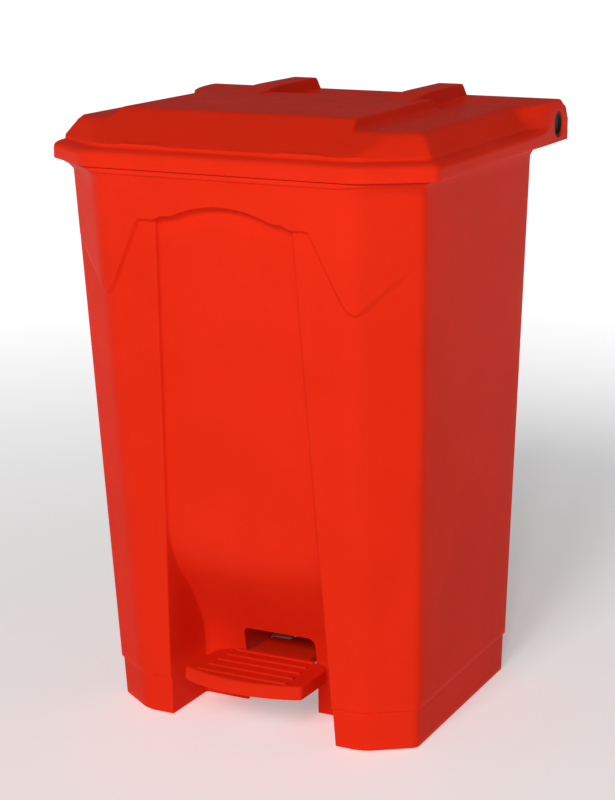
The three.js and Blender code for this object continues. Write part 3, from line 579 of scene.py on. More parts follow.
class LidShape:
    """The lid's outer surface, or its inner one when t is the wall's thickness."""

    def __init__(self, t=0.0):
        self.t = t
        marks = [HUMP["inner"] + t, HUMP["outer"] - t, DECK["right"] + 1 - t]
        half = clustered(marks, 0, LID_INNER_HALF, 9)
        self.x = np.concatenate([-half[:0:-1], half])
        self.outer = OUTER_SHARES
        along = [DECK["front"] + t, DECK["rear"] - t, HUMP["rear"] - 1 - t, HUMP["rear"] + 6 - t]
        along += LID_CORNER_ROWS + ([LID["cheek_front"]] if t else [])
        rows = clustered(along, -172, 176 if t else 179, 9)
        self.radius = LID["roll"] - t
        self.arc_y, self.arc_z = LID["rear"] - t - self.radius, LID["crown"] - t - self.radius
        start = math.asin((rows[-1] - self.arc_y) / self.radius) if rows[-1] > self.arc_y else 0.0
        turns = np.linspace(start, math.radians(86), 13)[1:]
        tail = self.arc_y + self.radius * np.sin(turns)
        self.y = np.concatenate([[DOME["front"] + t], LID_FRONT_ROWS, rows, tail])
        self.side_rows = int(np.sum(self.y < LID_SIDE_FROM))

    def flare(self, y):
        """0 along the side, 1 at the roll over the hinge."""
        if self.t:
            return smooth((y - LID["cheek_front"] + 1.2) / 2.4)
        return smooth((y - LID["flare_from"]) / LID["flare_run"])

    def roll_side(self):
        return LID["cheek_inner"] if self.t else LID["side"]

    def outline(self, mix, grow=0.0):
        """Front, half, side, corner and radius at a mix of the dome's foot (0) and the skirt (1)."""
        dims = {k: DOME[k] + (SKIRT[k] - DOME[k]) * mix for k in DOME}
        dims["front"] += self.t - grow
        dims["side"] -= self.t - grow
        dims["corner"] += 0.4 * (self.t - grow)
        dims["half"] -= 0.3 * (self.t - grow)
        return dims

    def loop(self, mix, z, grow=0.0):
        """A closed ring round the lid: the front, the right side, the back, then the left side."""
        d = self.outline(mix, grow)
        corners = [(LID_INNER_HALF - 20, d["front"]), (d["half"], d["front"]),
                   (d["side"], d["corner"]), (d["side"], LID_SIDE_FROM + 60)]
        path = self.corner_path(corners, (d["radius"], LID["side_radius"]))
        lengths = np.concatenate([[0], np.cumsum(np.linalg.norm(np.diff(path, axis=0), axis=1))])
        start = LID_INNER_HALF - corners[0][0]
        middle = lengths[np.argmin(np.abs(path[:, 0] - d["half"]) + np.abs(path[:, 1] - d["front"]))]
        end = np.interp(LID_SIDE_FROM, path[lengths > middle][:, 1], lengths[lengths > middle])

        def at(s):
            return np.column_stack([np.interp(s, lengths, path[:, k]) for k in (0, 1)])

        front_right = at(start + (middle - start) * self.outer)
        n = self.side_rows
        share = (self.y[:n] - self.y[0]) / (LID_SIDE_FROM - self.y[0])
        corner = at(middle + (end - middle) * share)
        rear = LID["rear"] - self.t
        behind = self.y[n:]
        back_y = np.minimum(behind, rear)
        sides_x = d["side"] + (self.roll_side() - d["side"]) * self.flare(behind)
        side = np.column_stack([sides_x, back_y])
        right = np.vstack([corner, side])
        right[-1] -= (0.5, 0.0)
        inner = np.column_stack([self.x, np.full(len(self.x), d["front"])])
        flip = np.array([-1, 1])
        front_row = np.vstack([(front_right * flip)[::-1], inner, front_right])
        rear_x = self.rear_row_x(right[-1, 0])
        rear_row = np.column_stack([rear_x, np.full(len(rear_x), right[-1, 1])])
        ring = np.vstack([front_row, right[1:], rear_row[::-1][1:], (right * flip)[::-1][1:-1]])
        return np.column_stack([ring, np.full(len(ring), z)])

    def rear_row_x(self, x_end):
        right = LID_INNER_HALF + (x_end - LID_INNER_HALF) * self.outer
        return np.concatenate([-right[::-1], self.x, right])

    @staticmethod
    def corner_path(corners, radii):
        """An open path with its two inner corners rounded."""
        points = [np.array(corners[0], float)]
        for k, radius in ((1, radii[0]), (2, radii[1])):
            points += rounded(corners[k - 1], corners[k], corners[k + 1], radius, 14)
        points.append(np.array(corners[3], float))
        return np.array(points)

    def height(self, x, y):
        """Height of the top over the dome's foot."""
        t = self.t
        ax = np.abs(x)
        foot = LID["foot"] - t
        d = self.outline(0.0)
        front = foot + (y - d["front"]) * DOME_SLOPES["front"]
        flare = self.flare(y)
        side_x = d["side"] + (self.roll_side() - d["side"]) * flare
        side = foot + (side_x - ax) * (DOME_SLOPES["side"] + DOME_SLOPES["roll_side"] * flare)
        across = np.array([d["side"] - d["half"], d["corner"] - d["front"]])
        normal = np.array([across[1], -across[0]]) / np.linalg.norm(across)
        away = (d["half"] - ax) * normal[0] + (d["front"] - y) * normal[1]
        chamfer = foot + away * DOME_SLOPES["chamfer"]
        rise = smooth((y - LID["crown_from"]) / LID["crown_run"])
        plateau = LID["plateau"] - t + (LID["crown"] - LID["plateau"]) * rise
        past = np.maximum(x - DECK["right"], DECK["left"] - x)
        deck_top = DECK["top"] - t
        deck_side = deck_top - (past + t) * DECK["lean"]
        deck_rear = deck_top - (y - DECK["rear"] + t) * DECK["rear_lean"]
        deck = smooth_min(smooth_min(deck_top + 0 * x, deck_side, 2.0), deck_rear, 2.0)
        rear = np.where(y > self.arc_y,
                        self.arc_z + np.sqrt(np.maximum(self.radius ** 2 - (y - self.arc_y) ** 2, 0)), 1e3)
        slopes = smooth_min(smooth_min(front, chamfer, 2.0), side, 1.6)
        z = smooth_min(smooth_min(slopes, smooth_max(plateau, deck, 1.6), 2.2), rear, 0.6)
        z = np.maximum(z, foot)
        crest, low = HUMP["top"] - t, deck_top - 0.6
        climb = smooth((y - HUMP["ramp"] - t) / (HUMP["crest"] - HUMP["ramp"]))
        ramp = low + (crest - low) * climb - 30 * smooth((HUMP["ramp"] + t - y) / 9)
        ramp += HUMP["crest_round"] / 4
        fall = smooth((y - HUMP["rear"] + t) / HUMP["drop_run"])
        drop = crest + HUMP["crest_round"] / 4 - HUMP["drop"] * fall
        past = np.maximum(ax - HUMP["outer"], HUMP["inner"] - ax) + 1.5 + t
        hump_side = crest - past * HUMP["lean"]
        hump = smooth_min(smooth_min(ramp, drop, HUMP["crest_round"]), hump_side, 2.2)
        return smooth_max(z, hump, 1.4)

    def cap(self, ring):
        """The grid of points inside the ring at the dome's foot, and its height."""
        nx, ny = len(self.x) + 2 * len(self.outer), len(self.y)
        right = ring[nx - 1:nx - 1 + ny, :2]
        front = ring[:nx, :2]
        grid = np.zeros((ny, nx, 3))
        inner = slice(len(self.outer), len(self.outer) + len(self.x))
        for j in range(ny):
            y = self.y[j]
            grid[j, inner, 0], grid[j, inner, 1] = self.x, y
            edge = np.array([LID_INNER_HALF, y])
            points = edge + (right[j] - edge) * self.outer[:, None]
            if j < self.side_rows:
                fade = 1 - (y - self.y[0]) / (LID_SIDE_FROM - self.y[0])
                chord = np.array([LID_INNER_HALF, self.y[0]])
                chord = chord + (right[0] - chord) * self.outer[:, None]
                points += (front[inner.stop:] - chord) * fade
            grid[j, inner.stop:, :2] = points
            grid[j, :inner.start, :2] = (points * np.array([-1, 1]))[::-1]
        grid[..., 2] = self.height(grid[..., 0], grid[..., 1])
        return grid


def bridge(verts, a, b):
    """Triangles between two closed loops that start at the same corner, by the shorter diagonal."""
    faces, i, j = [], 0, 0
    while i < len(a) or j < len(b):
        here, there = a[i % len(a)], b[j % len(b)]
        next_a, next_b = a[(i + 1) % len(a)], b[(j + 1) % len(b)]
        by_a = np.linalg.norm(verts[next_a] - verts[there])
        by_b = np.linalg.norm(verts[here] - verts[next_b])
        if j >= len(b) or (i < len(a) and by_a < by_b):
            faces.append((here, there, next_a))
            i += 1
        else:
            faces.append((here, there, next_b))
            j += 1
    return faces


def lid_mesh():
    """One closed shell: the top's grid, rings down the outside, up the inside, and the ceiling's grid."""
    top, under = LidShape(0.0), LidShape(LID["wall"])
    foot_top, foot_under = top.loop(0.0, 0.0), under.loop(0.0, 0.0)
    caps = [top.cap(foot_top), under.cap(foot_under)]
    verts, faces, loops = [], [], []

    def boundary(grid, offset):
        ny, nx = grid.shape[:2]
        loop = [(0, i) for i in range(nx)] + [(j, nx - 1) for j in range(1, ny)]
        loop += [(ny - 1, i) for i in range(nx - 2, -1, -1)] + [(j, 0) for j in range(ny - 2, 0, -1)]
        return [offset + j * nx + i for j, i in loop]

    for grid, flip in zip(caps, (False, True)):
        offset = len(verts)
        ny, nx = grid.shape[:2]
        verts += list(grid.reshape(-1, 3))
        for j in range(ny - 1):
            for i in range(nx - 1):
                quad = [offset + j * nx + i, offset + j * nx + i + 1,
                        offset + (j + 1) * nx + i + 1, offset + (j + 1) * nx + i]
                faces.append(tuple(quad[::-1] if flip else quad))
        loops.append(boundary(grid, offset))
    outside = [(0.0, 621.2, 0.1), (0.0, 620.2, 0.35), (0.06, 619.5, 0), (0.16, 619.0, 0), (0.32, 618.4, 0),
               (0.52, 617.5, 0), (0.72, 616.4, 0), (0.86, 615.2, 0), (0.945, 613.8, 0), (0.985, 612.2, 0),
               (1.0, 610.0, 0), (1.0, 605.0, 0), (1.0, 601.2, 0), (1.0, 600.4, -0.25), (1.0, 600.0, -0.9)]
    inside = [(1.0, 600.0, -2.1 + 3), (1.0, 600.0, 0.7), (1.0, 600.3, 0.2), (1.0, 601.2, 0), (1.0, 606, 0),
              (0.97, 609.6, 0), (0.8, 613.0, 0), (0.5, 614.6, 0), (0.15, 616.0, 0), (0.0, 617.4, 0)]
    chain = [loops[0]]
    for shape, rows in ((top, outside), (under, inside)):
        for mix, z, grow in rows:
            ring = shape.loop(mix, z, grow)
            chain.append(list(range(len(verts), len(verts) + len(ring))))
            verts += list(ring)
    chain.append(loops[1])
    for a, b in zip(chain[:-1], chain[1:]):
        n = len(a)
        if len(b) != n:
            faces += bridge(np.array(verts), a, b)
            continue
        faces += [(a[i], b[i], b[(i + 1) % n], a[(i + 1) % n]) for i in range(n)]
    return verts, faces


def lift_lug(side):
    y, z = WIRE["y"], WIRE["top"]
    arc = [(y + 9 * math.cos(t), z + 9 * math.sin(t)) for t in np.linspace(math.pi, 2 * math.pi, 18)]
    outline = arc + [(y + 20, 636), (y + 13, 655.6), (y - 9, 655.6)]
    return prism("lug", outline, "x", *span(side, 95, 101), round_edges=0.4)


def lid_rib(side, front, rear, inner, outer):
    """A rib under the lid that rests on the tub's rim."""
    return prism("rib", rect(front, rear, 600.0, 613.5), "x", *span(side, inner, outer))


def build_lid():
    verts, faces = lid_mesh()
    lid = new_object("lid_shell", verts, faces, 45.0)
    ribs = [lid_rib(side, y, y + 3, 198.2, 212.6) for side in (1, -1) for y in (-90.0, 20.0, 110.0)]
    ribs += [lid_rib(side, -203.4, -189, 108, 111) for side in (1, -1)]
    boolean(lid, both(lift_lug) + ribs, "UNION", 45.0)
    cuts = []
    for side in (1, -1):
        y, z = HINGE["y"], HINGE["z"]
        cuts.append(bore(side, WIRE["y"], WIRE["top"], 5.3, 90, 104, 40))
        cuts.append(bore(side, y, z, HINGE["bore"], 200, 210))
        sink = HINGE["counterbore"]
        profile = [(0, 0), (sink, 0), (sink, 5.3), (sink + 1.2, 6.5), (sink + 1.2, 8), (0, 8)]
        cuts.append(lathe("bore", profile, to_side(side), (side * HINGE["shelf"], y, z), 64))
    return boolean(lid, cuts, "DIFFERENCE", 45.0)


# ---- Pedal, lever and axle ----

TREAD = {
    "top": 17.3, "plate": 3.5, "bottom": 2.3, "half": 69.0, "tip": -169.7, "apex": -186.6,
    "shoulder": -92.0, "neck": 36.0, "neck_end": -30.0,
}
RIB = {"count": 5, "first": -170.0, "pitch": 19.0, "half": 52.0, "narrowing": 1.5, "width": 8.0,
       "height": 1.6}
LEVER = {"half": 25.0, "sheet": 2.5, "top": 10.0, "front": -150.0, "rear": 166.0, "plate_end": 118.0}
TILT = math.radians(3.9)
SCREW_SPOTS = {"front": -135.0, "rear": -75.0}


def in_pedal(obj):
    """Moves a shape from the lever's own space (x, along, above) to its place."""
    turn = Matrix.Rotation(-TILT, 4, "X")
    place = Matrix.Translation((0, PIVOT["y"] * MM, PIVOT["z"] * MM)) @ turn
    obj.data.transform(place)
    return obj


def tread_outline(inset=0.0):
    """Curved front, short sides, shoulders and the neck that passes through the tub's slot."""
    t = TREAD
    sagitta = t["tip"] - t["apex"]
    radius = (t["half"] ** 2 + sagitta ** 2) / (2 * sagitta) - inset
    centre = t["apex"] + inset + radius
    half = t["half"] - inset
    sweep = math.asin(half / radius)
    arc = [[radius * math.sin(a), centre - radius * math.cos(a), 0]
           for a in np.linspace(-sweep * 0.93, sweep * 0.93, 28)]
    tip = centre - radius * math.cos(sweep)
    out, inn = max(5.0 - inset, 0.6), 3.0 + inset
    right = [[half, tip, out], [half - 2, t["shoulder"] - 14 - inset, 8.0],
             [half - 12, t["shoulder"] - inset, out], [t["neck"] - inset, t["shoulder"] - inset, inn],
             [t["neck"] - inset, t["neck_end"] - inset, 1.0]]
    left = [[-x, u, r] for x, u, r in right][::-1]
    return round_corners(arc + right + left, 6)


def build_tread():
    t = TREAD
    top, ceiling = t["top"], t["top"] - t["plate"]
    low = t["bottom"]
    rows = [(6.0, ceiling), (4.2, ceiling), (3.4, ceiling - 0.4), (3.0, ceiling - 1.4), (3.0, low + 1),
            (2.7, low + 0.2), (2.2, low), (0.8, low), (0.2, low + 0.25), (0.0, low + 0.9), (0.0, top - 2.6)]
    rows += [(2.4 * (1 - math.cos(a)), top - 2.4 * (1 - math.sin(a))) for a in np.linspace(0.1, 1.5, 8)]
    rows += [(2.6, top), (4.0, top)]
    tread = skin("tread_shell", [[(x, u, w) for x, u in tread_outline(inset)] for inset, w in rows], 50.0)
    seat = LEVER["top"] + 0.3
    room = [rect(-half, half, front, 5) for half, front in ((41, -86), (26, -100))]
    boolean(tread, [prism("room", outline, "z", -5, seat) for outline in room], "DIFFERENCE", 50.0)
    extras = [lathe("boss", [(0, seat), (8, seat), (8, top - 1), (0, top - 1)], "z", (0, u, 0))
              for u in SCREW_SPOTS.values()]
    extras += [prism("rest", rect(x - 1.5, x + 1.5, -148, -40), "z", seat, top - 1) for x in (-22, 22)]
    for i in range(RIB["count"]):
        u = RIB["first"] + i * RIB["pitch"]
        w = RIB["width"] / 2
        half = RIB["half"] - i * RIB["narrowing"]
        crown = top + RIB["height"]
        section = round_corners([[u - w, top - 0.6, 0], [u + w, top - 0.6, 0], [u + w - 1.2, crown, 1.5],
                                 [u - w + 1.2, crown, 1.5]], 5)
        extras.append(prism("rib", section, "x", -half, half, round_edges=0.5))
    boolean(tread, extras, "UNION", 50.0)
    holes = [screw_hole("z", 0, u, 0, top - 2) for u in SCREW_SPOTS.values()]
    return in_pedal(boolean(tread, holes, "DIFFERENCE", 50.0))


def build_lever():
    """A pressed channel whose flanges deepen towards the fork at the back."""
    half, top, sheet = LEVER["half"], LEVER["top"], LEVER["sheet"]
    section = round_corners([[-half, -20, 0], [-half, top, 3.4], [half, top, 3.4], [half, -20, 0],
                             [half - sheet, -20, 0], [half - sheet, top - sheet, 0.9],
                             [-half + sheet, top - sheet, 0.9], [-half + sheet, -20, 0]], 6)
    lever = prism("lever_channel", section, "y", LEVER["front"], LEVER["rear"])
    rear = LEVER["rear"]
    side = round_corners([
        [LEVER["front"], top + 0.5, 0], [LEVER["front"], top - 6, 2], [-60, -9, 40], [rear - 40, -13, 40],
        [rear - 2, -14, 1.5], [rear, -12, 1.5], [rear, -8.6, 1], [137, -8.6, 3], [134, -6, 2], [134, -2, 2],
        [137, 0.8, 3], [rear, 0.8, 1], [rear, 5, 3], [rear - 4, top - 2, 3], [118, top + 0.5, 0]], 6)
    boolean(lever, [prism("side", side, "x", -40, 40)], "INTERSECT")
    inside = half - sheet
    end = rect(-inside, inside, LEVER["plate_end"], 180)
    cuts = [prism("end", end, "z", 0, 20), prism("bore", circle(0, 0, 7.3), "x", -40, 40)]
    cuts += [screw_hole("z", 0, u, 5, 15, 2.4) for u in SCREW_SPOTS.values()]
    boolean(lever, cuts, "DIFFERENCE")
    return in_pedal(bevelled(lever, 0.35, 2, 40.0))


def screw_body(head, head_height, shank, length):
    """A pan head with a cross recess, head downwards."""
    profile = [(0, 0.0), (head * 0.5, 0.05), (head - 1.3, 0.28), (head - 0.5, 0.8), (head - 0.08, 1.5),
               (head, 2.0), (head, head_height), (shank, head_height), (shank, head_height + length - 1),
               (shank - 0.5, head_height + length), (0, head_height + length)]
    obj = lathe("screw", profile, "z", (0, 0, 0), 32)
    cross = [prism("cross", rect(-w, w, -d, d), "z", -1, 1.5) for w, d in ((2.2, 0.45), (0.45, 2.2))]
    return boolean(obj, cross, "DIFFERENCE")


def tread_screw(u):
    obj = screw_body(4.5, 2.4, 1.9, 8.0)
    obj.data.transform(Matrix.Translation(Vector((0, u, 4.8)) * MM))
    return in_pedal(obj)


def guide_screw(side, z):
    obj = screw_body(4.0, 2.2, 1.9, 9.0)
    place = Vector((side * GUIDE["screw"], GUIDE["y"] + GUIDE["plate"] + 2.5, z)) * MM
    obj.data.transform(Matrix.Translation(place) @ Matrix.Rotation(math.pi / 2, 4, "X"))
    return obj


def lever_bush(side):
    end = CHANNEL["inner"] - 0.3
    profile = [(4.15, 21.9), (4.5, 21.5), (6.6, 21.5), (7, 21.9), (7, 25.3), (9.5, 25.3), (10, 25.8),
               (10, end - 0.5), (9.5, end), (4.5, end), (4.15, end - 0.4)]
    return in_pedal(lathe_ring("bush", profile, to_side(side), (0, 0, 0)))


def build_axle():
    profile = [(0, -62.0), (3.4, -62.0), (4, -61.2), (4, 61.2), (3.4, 62.0), (0, 62.0)]
    return lathe("axle", profile, "x", (0, PIVOT["y"], PIVOT["z"]))


def shaft_clip(side, inner, outer, x, y, z):
    """A sprung cap pressed on a shaft's end."""
    rise = outer - inner - 2
    profile = [(inner, 0.1), (inner + 0.2, 0.0), (outer - 0.3, 0.0), (outer, 0.3), (outer, 0.6),
               (outer - 0.2, 0.85), (inner + 2 + rise * 0.5, 1.75), (inner + 2.2, 2.3), (inner + 1.8, 2.4),
               (inner + 0.2, 2.4), (inner, 2.2)]
    return lathe_ring("clip", profile, to_side(side), (side * x, y, z), 40)


# ---- Lifting wire, guides and hinge pins ----

def build_wire():
    """A bent round wire: in from one lid lug, down, across through the lever's fork, and up again."""
    w = WIRE
    corners = [(w["end"], w["top"]), (w["leg"], w["top"]), (w["leg"], w["bottom"]),
               (-w["leg"], w["bottom"]), (-w["leg"], w["top"]), (-w["end"], w["top"])]
    path = [corners[0]]
    for before, here, after in zip(corners[:-2], corners[1:-1], corners[2:]):
        path += rounded(before, here, after, w["bend"], 10)
    path = np.array(path + [corners[-1]])
    tangents = np.gradient(path, axis=0)
    tangents /= np.linalg.norm(tangents, axis=1, keepdims=True)
    rings = []
    for k, (point, tangent) in enumerate(zip(path, tangents)):
        across = np.array([-tangent[1], tangent[0]])
        last = k in (0, len(path) - 1)
        steps = [(0.0, 0.75), (0.5, 1.0)] if last else [(0.0, 1.0)]
        if k == len(path) - 1:
            steps = [(-0.5, 1.0), (0.0, 0.75)]
        for along, scale in steps:
            at = point + tangent * along
            ring = []
            for a in np.linspace(0, 2 * math.pi, 25)[:-1]:
                flat = at + across * w["radius"] * scale * math.cos(a)
                ring.append((flat[0], w["y"] + w["radius"] * scale * math.sin(a), flat[1]))
            rings.append(ring)
    return skin("wire", rings, 50.0)


def lift_bush(side):
    profile = [(3.3, 93.9), (3.6, 93.5), (7.1, 93.5), (7.5, 93.9), (7.5, 94.4), (7.2, 94.7), (5, 94.7),
               (5, 101.1), (4.7, 101.4), (3.6, 101.4), (3.3, 101.1)]
    return lathe_ring("bush", profile, to_side(side), (0, WIRE["y"], WIRE["top"]))


def wire_guide(side, z):
    """A moulded hoop that one leg of the wire slides through, with a tab for its screw."""
    y, deep, plate = GUIDE["y"], GUIDE["depth"], GUIDE["plate"]
    hoop = [(56, 0, 1), (100, 0, 1), (100, deep, 6), (74, deep, 6), (72, plate, 2.5), (56, plate, 1.2)]
    gap = [(81.8, 3.6, 2), (81.8, 18, 3), (90.2, 18, 3), (90.2, 3.6, 2)]
    outline = round_corners([[side * x, y + back, r] for x, back, r in hoop], 6)
    window = round_corners([[side * x, y + back, r] for x, back, r in gap], 5)
    if side < 0:
        outline, window = outline[::-1], window[::-1]
    guide = prism("guide", outline, "z", z - GUIDE["height"] / 2, z + GUIDE["height"] / 2)
    cuts = [prism("window", window, "z", z - 20, z + 20),
            screw_hole("y", side * GUIDE["screw"], z, y - 2, y + 8)]
    return bevelled(boolean(guide, cuts, "DIFFERENCE"), 0.6, 2, 40.0)


def hinge_pin(side):
    """A push-in pin with a dished head, sunk in the lid's cheek. Its near-black head fills the cheek's
    counterbore, and its colour also stands in for the shade deep in that bore: painted shade.
    """
    profile = [(0, -21.0), (4.2, -21.0), (4.9, -20.6), (6, -18.8), (6, 0.3), (13.2, 0.3), (13.7, 0.8),
               (13.7, 3.2), (13.4, 4.0), (12.6, 4.4), (11.2, 4.2), (10.2, 3.2), (9.4, 2.3), (8.0, 2.0),
               (0, 2.0)]
    return lathe("pin", profile, to_side(side), (side * HINGE["shelf"], HINGE["y"], HINGE["z"]), 64)


# ---- Materials ----

def node_material(name):
    mat = bpy.data.materials.new(name)
    mat.use_nodes = True
    nodes, links = mat.node_tree.nodes, mat.node_tree.links
    return mat, nodes, links, nodes["Principled BSDF"]


def noise(nodes, links, scale, detail=2.0, roughness=0.5, coords=None):
    n = nodes.new("ShaderNodeTexNoise")
    n.inputs["Scale"].default_value = scale
    n.inputs["Detail"].default_value = detail
    n.inputs["Roughness"].default_value = roughness
    if coords is not None:
        links.new(coords, n.inputs["Vector"])
    return n.outputs["Fac"]


def ramp(nodes, links, source, stops):
    r = nodes.new("ShaderNodeValToRGB")
    while len(r.color_ramp.elements) < len(stops):
        r.color_ramp.elements.new(0.5)
    for element, (place, colour) in zip(r.color_ramp.elements, stops):
        element.position = place
        element.color = (*colour, 1) if len(colour) == 3 else colour
    links.new(source, r.inputs["Fac"])
    return r.outputs["Color"]


def grey(v):
    return (v, v, v)


def bump(nodes, links, height, strength, distance, normal=None):
    b = nodes.new("ShaderNodeBump")
    b.inputs["Strength"].default_value = strength
    b.inputs["Distance"].default_value = distance
    links.new(height, b.inputs["Height"])
    if normal is not None:
        links.new(normal, b.inputs["Normal"])
    return b.outputs["Normal"]


EDGE_WEAR = 0.25


def plastic(name, colour, rough, grain=0.06, worn=(1.1, 1.2, 1.2), specular=0.42):
    """Moulded plastic: faint clouding, a fine spark-eroded grain, soft scuffs and paler edges."""
    mat, nodes, links, bsdf = node_material(name)
    coords = nodes.new("ShaderNodeTexCoord").outputs["Object"]
    clouds = noise(nodes, links, 9.0, 4.0, 0.55, coords)
    deep = tuple(c * 0.95 for c in colour)
    pale = tuple(min(c * 1.03 + 0.001, 1) for c in colour)
    base = ramp(nodes, links, clouds, [(0.3, deep), (0.7, pale)])
    edge = nodes.new("ShaderNodeNewGeometry").outputs["Pointiness"]
    edges = ramp(nodes, links, edge, [(0.50, grey(0)), (0.56, grey(1))])
    mix = nodes.new("ShaderNodeMix")
    mix.data_type = "RGBA"
    scale = nodes.new("ShaderNodeMath")
    scale.operation = "MULTIPLY"
    links.new(edges, scale.inputs[0])
    scale.inputs[1].default_value = EDGE_WEAR
    links.new(scale.outputs[0], mix.inputs["Factor"])
    links.new(base, mix.inputs["A"])
    paler = [min(c * w + 0.004, 1) for c, w in zip(colour, worn)]
    mix.inputs["B"].default_value = (*paler, 1)
    links.new(mix.outputs["Result"], bsdf.inputs["Base Color"])
    scuffs = noise(nodes, links, 38.0, 6.0, 0.65, coords)
    links.new(ramp(nodes, links, scuffs, [(0.3, grey(rough - 0.03)), (0.75, grey(rough + 0.05))]),
              bsdf.inputs["Roughness"])
    fine = noise(nodes, links, 2600.0, 2.0, 0.6, coords)
    wave = noise(nodes, links, 14.0, 2.0, 0.4, coords)
    normal = bump(nodes, links, fine, grain, 0.0002)
    normal = bump(nodes, links, wave, 0.05, 0.002, normal)
    links.new(normal, bsdf.inputs["Normal"])
    bsdf.inputs["Specular IOR Level"].default_value = specular
    return mat


def metal(name, colour, rough):
    """Bright zinc plate: fine drawing lines, faint clouding and dull handled patches."""
    mat, nodes, links, bsdf = node_material(name)
    coords = nodes.new("ShaderNodeTexCoord").outputs["Object"]
    stretch = nodes.new("ShaderNodeMapping")
    stretch.inputs["Scale"].default_value = (1, 1, 60)
    links.new(coords, stretch.inputs["Vector"])
    lines = noise(nodes, links, 60.0, 5.0, 0.7, stretch.outputs["Vector"])
    clouds = noise(nodes, links, 45.0, 4.0, 0.6, coords)
    links.new(ramp(nodes, links, clouds, [(0.3, tuple(c * 0.72 for c in colour)), (0.7, colour)]),
              bsdf.inputs["Base Color"])
    links.new(ramp(nodes, links, lines, [(0.25, grey(rough - 0.08)), (0.8, grey(rough + 0.16))]),
              bsdf.inputs["Roughness"])
    links.new(bump(nodes, links, lines, 0.12, 0.0002), bsdf.inputs["Normal"])
    bsdf.inputs["Metallic"].default_value = 1.0
    return mat


RED = plastic("red_plastic", (0.78, 0.024, 0.006), 0.33, specular=0.012)
# Near-black plastic. On the hinge pins' heads it also stands in for the shade deep in the lid's cheek bores,
# as painted shade; the wire guides are plain black plastic.
BLACK_AND_BORE_SHADE = plastic("black_plastic", (0.006, 0.006, 0.0065), 0.42, grain=0.12, worn=(3.0, 3.0, 3.0),
                specular=0.12)
NATURAL = plastic("natural_plastic", (0.72, 0.70, 0.62), 0.45, grain=0.05, worn=(1.05, 1.05, 1.0))
ZINC = metal("zinc_steel", (0.66, 0.67, 0.68), 0.30)


def finish_piece(obj, material, body, slot_name, *nodes):
    obj.data.materials.clear()
    obj.data.materials.append(material)
    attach(obj, body)
    if nodes:
        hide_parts(*nodes)
    return obj


# ---- The object ----

finish_piece(build_tub(), RED, "tub", "red_plastic", "body")
finish_piece(build_lid(), RED, "lid", "red_plastic", "lid")
finish_piece(build_tread(), RED, "pedal", "red_plastic", "pedal_tread")
finish_piece(build_lever(), ZINC, "pedal", "zinc_steel", "pedal_lever")
finish_piece(build_axle(), ZINC, "tub", "zinc_steel", "pedal_axle")
finish_piece(build_wire(), ZINC, "lift_wire", "zinc_steel", "lift_wire")
for spot, along in SCREW_SPOTS.items():
    finish_piece(tread_screw(along), ZINC, "pedal", "zinc_steel", f"tread_screw_{spot}")
for where, side in (("left", -1), ("right", 1)):
    finish_piece(hinge_pin(side), BLACK_AND_BORE_SHADE, "lid", "black_plastic", f"hinge_pin_{where}")
    finish_piece(lever_bush(side), NATURAL, "pedal", "natural_plastic", f"lever_bush_{where}")
    axle_clip = shaft_clip(side, 4.15, 9.0, 55.3, PIVOT["y"], PIVOT["z"])
    finish_piece(axle_clip, ZINC, "tub", "zinc_steel", f"axle_clip_{where}")
    finish_piece(lift_bush(side), NATURAL, "lid", "natural_plastic", f"lift_bush_{where}")
    wire_clip = shaft_clip(side, 3.15, 6.5, 101.8, WIRE["y"], WIRE["top"])
    finish_piece(wire_clip, ZINC, "lift_wire", "zinc_steel", f"wire_clip_{where}")
    for level_name, height in zip(("lower", "upper"), GUIDE["heights"]):
        guide_name = f"{level_name}_{where}"
        finish_piece(wire_guide(side, height), BLACK_AND_BORE_SHADE, "tub", "black_plastic", f"wire_guide_{guide_name}")
        finish_piece(guide_screw(side, height), ZINC, "tub", "zinc_steel", f"guide_screw_{guide_name}")


# ---- Stage, light and camera ----

FLOOR_GLOW = (0.3, 2.6, 0.30, 0.72)     # metres from the centre, and the floor's own light there


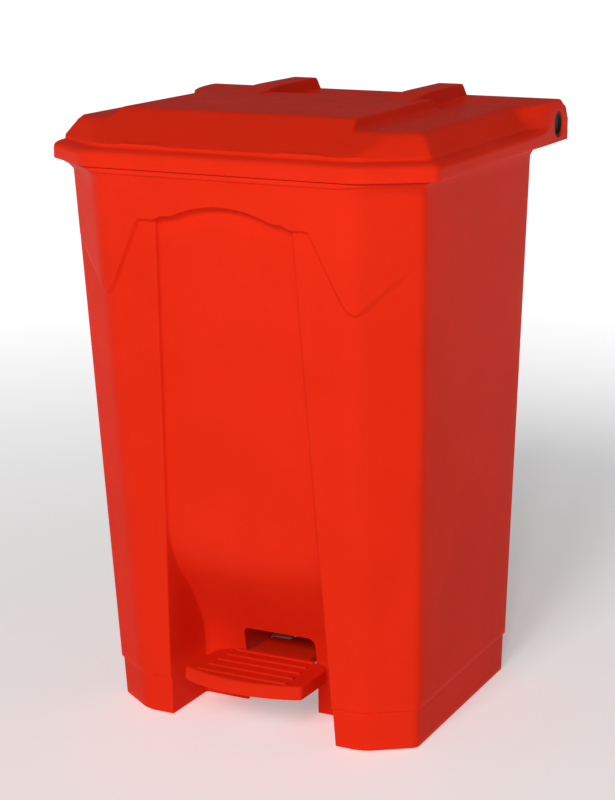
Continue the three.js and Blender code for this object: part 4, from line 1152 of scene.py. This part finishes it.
def build_stage():
    """A plain pale floor that brightens away from the object, as a lit backdrop does: its own emission is
    painted light, a glow that is weakest near the object, which paints shade there, and strongest far off.
    """
    bpy.ops.mesh.primitive_circle_add(vertices=96, radius=40, fill_type="NGON", location=(0, 0, -0.0005))
    floor = bpy.context.object
    floor.name = "floor"
    mat, nodes, links, bsdf = node_material("floor")
    bsdf.inputs["Base Color"].default_value = (0.90, 0.90, 0.90, 1)
    bsdf.inputs["Emission Color"].default_value = (1, 1, 1, 1)
    spread = nodes.new("ShaderNodeVectorMath")
    spread.operation = "LENGTH"
    links.new(nodes.new("ShaderNodeTexCoord").outputs["Object"], spread.inputs[0])
    lift = nodes.new("ShaderNodeMapRange")
    lift.interpolation_type = "SMOOTHSTEP"
    for socket, value in zip(("From Min", "From Max", "To Min", "To Max"), FLOOR_GLOW):
        lift.inputs[socket].default_value = value
    links.new(spread.outputs["Value"], lift.inputs["Value"])
    # The floor's painted glow, dimmest near the object as painted shade and brightest far away.
    links.new(lift.outputs["Result"], bsdf.inputs["Emission Strength"])
    bsdf.inputs["Roughness"].default_value = 0.75
    bsdf.inputs["Specular IOR Level"].default_value = 0.2
    floor.data.materials.append(mat)
    world = bpy.data.worlds.new("studio")
    bpy.context.scene.world = world
    world.use_nodes = True
    background = world.node_tree.nodes["Background"]
    background.inputs["Color"].default_value = (1, 1, 1, 1)
    background.inputs["Strength"].default_value = 0.15
    bpy.context.scene.view_settings.view_transform = "Standard"


def aimed(name, data, place, target):
    lamp = bpy.data.objects.new(name, data)
    bpy.context.scene.collection.objects.link(lamp)
    lamp.location = place
    lamp.rotation_mode = "QUATERNION"
    lamp.rotation_quaternion = (Vector(target) - Vector(place)).to_track_quat("-Z", "Y")


def soft_sun(name, azimuth, elevation, strength, spread):
    """Even light from a wide soft source a long way off."""
    data = bpy.data.lights.new(name, "SUN")
    data.energy, data.angle = strength, math.radians(spread)
    a, e = math.radians(azimuth), math.radians(elevation)
    place = Vector((math.sin(a) * math.cos(e), -math.cos(a) * math.cos(e), math.sin(e))) * 3
    aimed(name, data, place, (0, 0, 0))


def area_light(name, place, target, size, power):
    data = bpy.data.lights.new(name, "AREA")
    data.shape, data.size, data.size_y, data.energy = "RECTANGLE", *size, power
    aimed(name, data, place, target)


VIEW = {"angles": (26.40, 14.42, -0.253), "place": (0.9415, -1.9010, 0.8750), "sensor": 36.0,
        "lens": 91.0845}


def build_camera():
    """A standing person's view of the bin, from its right front."""
    azimuth, elevation, roll = (math.radians(v) for v in VIEW["angles"])
    back = Vector((math.sin(azimuth) * math.cos(elevation), -math.cos(azimuth) * math.cos(elevation),
                   math.sin(elevation)))
    right = Vector((math.cos(azimuth), math.sin(azimuth), 0))
    up = back.cross(right)
    turned_right = right * math.cos(roll) + up * math.sin(roll)
    turned_up = -right * math.sin(roll) + up * math.cos(roll)
    data = bpy.data.cameras.new("camera")
    data.sensor_width = VIEW["sensor"]
    data.lens = VIEW["lens"]
    data.clip_start, data.clip_end = 0.05, 100
    camera = bpy.data.objects.new("camera", data)
    bpy.context.scene.collection.objects.link(camera)
    matrix = Matrix((turned_right, turned_up, back)).transposed().to_4x4()
    matrix.translation = Vector(VIEW["place"])
    camera.matrix_world = matrix
    bpy.context.scene.camera = camera


build_stage()
soft_sun("key", 3, 31, 1.36, 18)
area_light("strip", (0.95, -2.2, 1.6), (0, 0, 0.55), (0.16, 0.9), 13)
build_camera()
